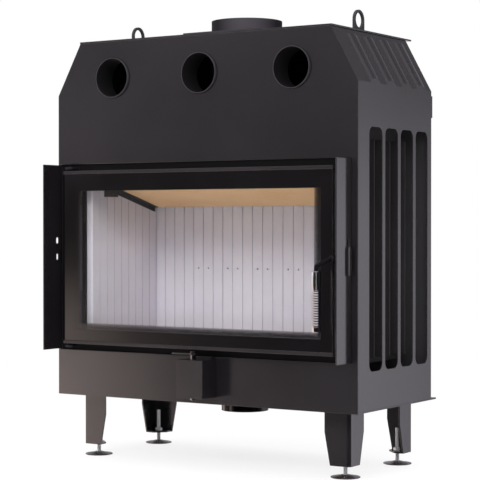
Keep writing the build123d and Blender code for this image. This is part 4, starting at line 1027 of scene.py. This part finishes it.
# Elsewhere the brightest patch counts: far left, behind in four parts, overhead and underfoot.
BEHIND = ("Y", 0.25, 0.50)
IN_FRONT = ("Y", 0.25, 0.05)
behind = [(BEHIND, rise, side)
          for rise in (("Z", 0.01, 0.09, 1.0, 0.47), ("Z", 0.50, 0.85, 0.0, 0.9))
          for side in (("X", 0.425, 0.50, 0.44, 1.2), ("X", 0.0, -0.3, 0.2, 1.0))]
for ramps in ((("X", -0.88, -0.96, 0.0, 1.8),), *behind, (("Z", 0.55, 0.9, 0.0, 0.62),),
              (IN_FRONT, ("Z", 0.66, 0.80)), (IN_FRONT, ("Z", -0.66, -0.80))):
    seen_in_gloss = calculate(tree, "MAXIMUM", seen_in_gloss, patch(*ramps))
COOL_WHITE = (0.985, 0.945, 1.03)
PLAIN_WHITE = (1.0, 0.925, 0.99)
WARM_GLOW = (1.0, 0.83, 0.76)
gloss_colour = mix_colours(tree, patch(("slew", 0.58, 0.74), ("Z", 0.03, -0.03)),
                           mix_colours(tree, patch(IN_FRONT), COOL_WHITE, PLAIN_WHITE), WARM_GLOW)
gloss = place_node(tree, "Background", {"Strength": seen_in_gloss, "Color": gloss_colour})
plain_light = place_node(tree, "Background", {"Strength": patch(("Z", 0.0, 0.6, *WORLD_LIGHT)),
                                              "Color": (1, 0.99, 1)})
white_light = place_node(tree, "Background", {"Strength": 1.0, "Color": (1, 1, 1)})
seen = calculate(tree, "MAXIMUM", rays["Is Camera Ray"], rays["Is Transmission Ray"])
surround = plain_light.outputs[0]
for share, shown in ((rays["Is Glossy Ray"], gloss), (seen, white_light)):
    surround = place_node(tree, "MixShader", {0: share, 1: surround, 2: shown.outputs[0]}).outputs[0]
fill_inputs(tree, tree.nodes.new("ShaderNodeOutputWorld"), {"Surface": surround})

# Soft boxes, each (place, point it faces, width, height, watts). Only the strip shows in chrome.
SOFT_LAMPS = {"front_box": ((0.4, -4.0, 2.9), (0, 0, 0.4), 2.2, 1.4, 95),
              "right_box": ((2.6, -3.0, 2.6), (0, 0, 0.4), 1.6, 1.2, 50),
              "front_strip": ((2.5, -3.75, 1.3), (0, 0, 0.6), 0.12, 2.4, 3.2),
              "top_box": ((0.0, -0.3, 3.3), (0, 0, 0), 2.2, 2.2, 30),
              "back_box": ((-1.6, 3.6, 2.4), (0, 0, 0.5), 2.2, 1.5, 40)}
for lamp_name, (place, target, width, height, watts) in SOFT_LAMPS.items():
    lamp = bpy.data.lights.new(lamp_name, "AREA")
    lamp.shape = "RECTANGLE"
    lamp.size, lamp.size_y, lamp.energy = width, height, watts
    lamp_object = bpy.data.objects.new(lamp_name, lamp)
    bpy.context.scene.collection.objects.link(lamp_object)
    lamp_object.location = place
    facing = (Vector(target) - Vector(place)).to_track_quat("-Z", "Y")
    lamp_object.rotation_euler = facing.to_euler()
    lamp_object.visible_camera = False
    lamp_object.visible_glossy = lamp_name == "front_strip"

CAMERA_LENS = 122.45
CAMERA_PLACE = (2.2432, -3.4580, 0.5979)
CAMERA_TURN = (pi / 2 - 0.00958, 0.0, 0.57228)
camera_data = bpy.data.cameras.new("camera")
camera_data.lens = CAMERA_LENS
camera_data.sensor_width = 36.0
camera = bpy.data.objects.new("camera", camera_data)
bpy.context.scene.collection.objects.link(camera)
camera.location = CAMERA_PLACE
camera.rotation_euler = CAMERA_TURN
bpy.context.scene.camera = camera
bpy.context.scene.view_settings.view_transform = "Standard"
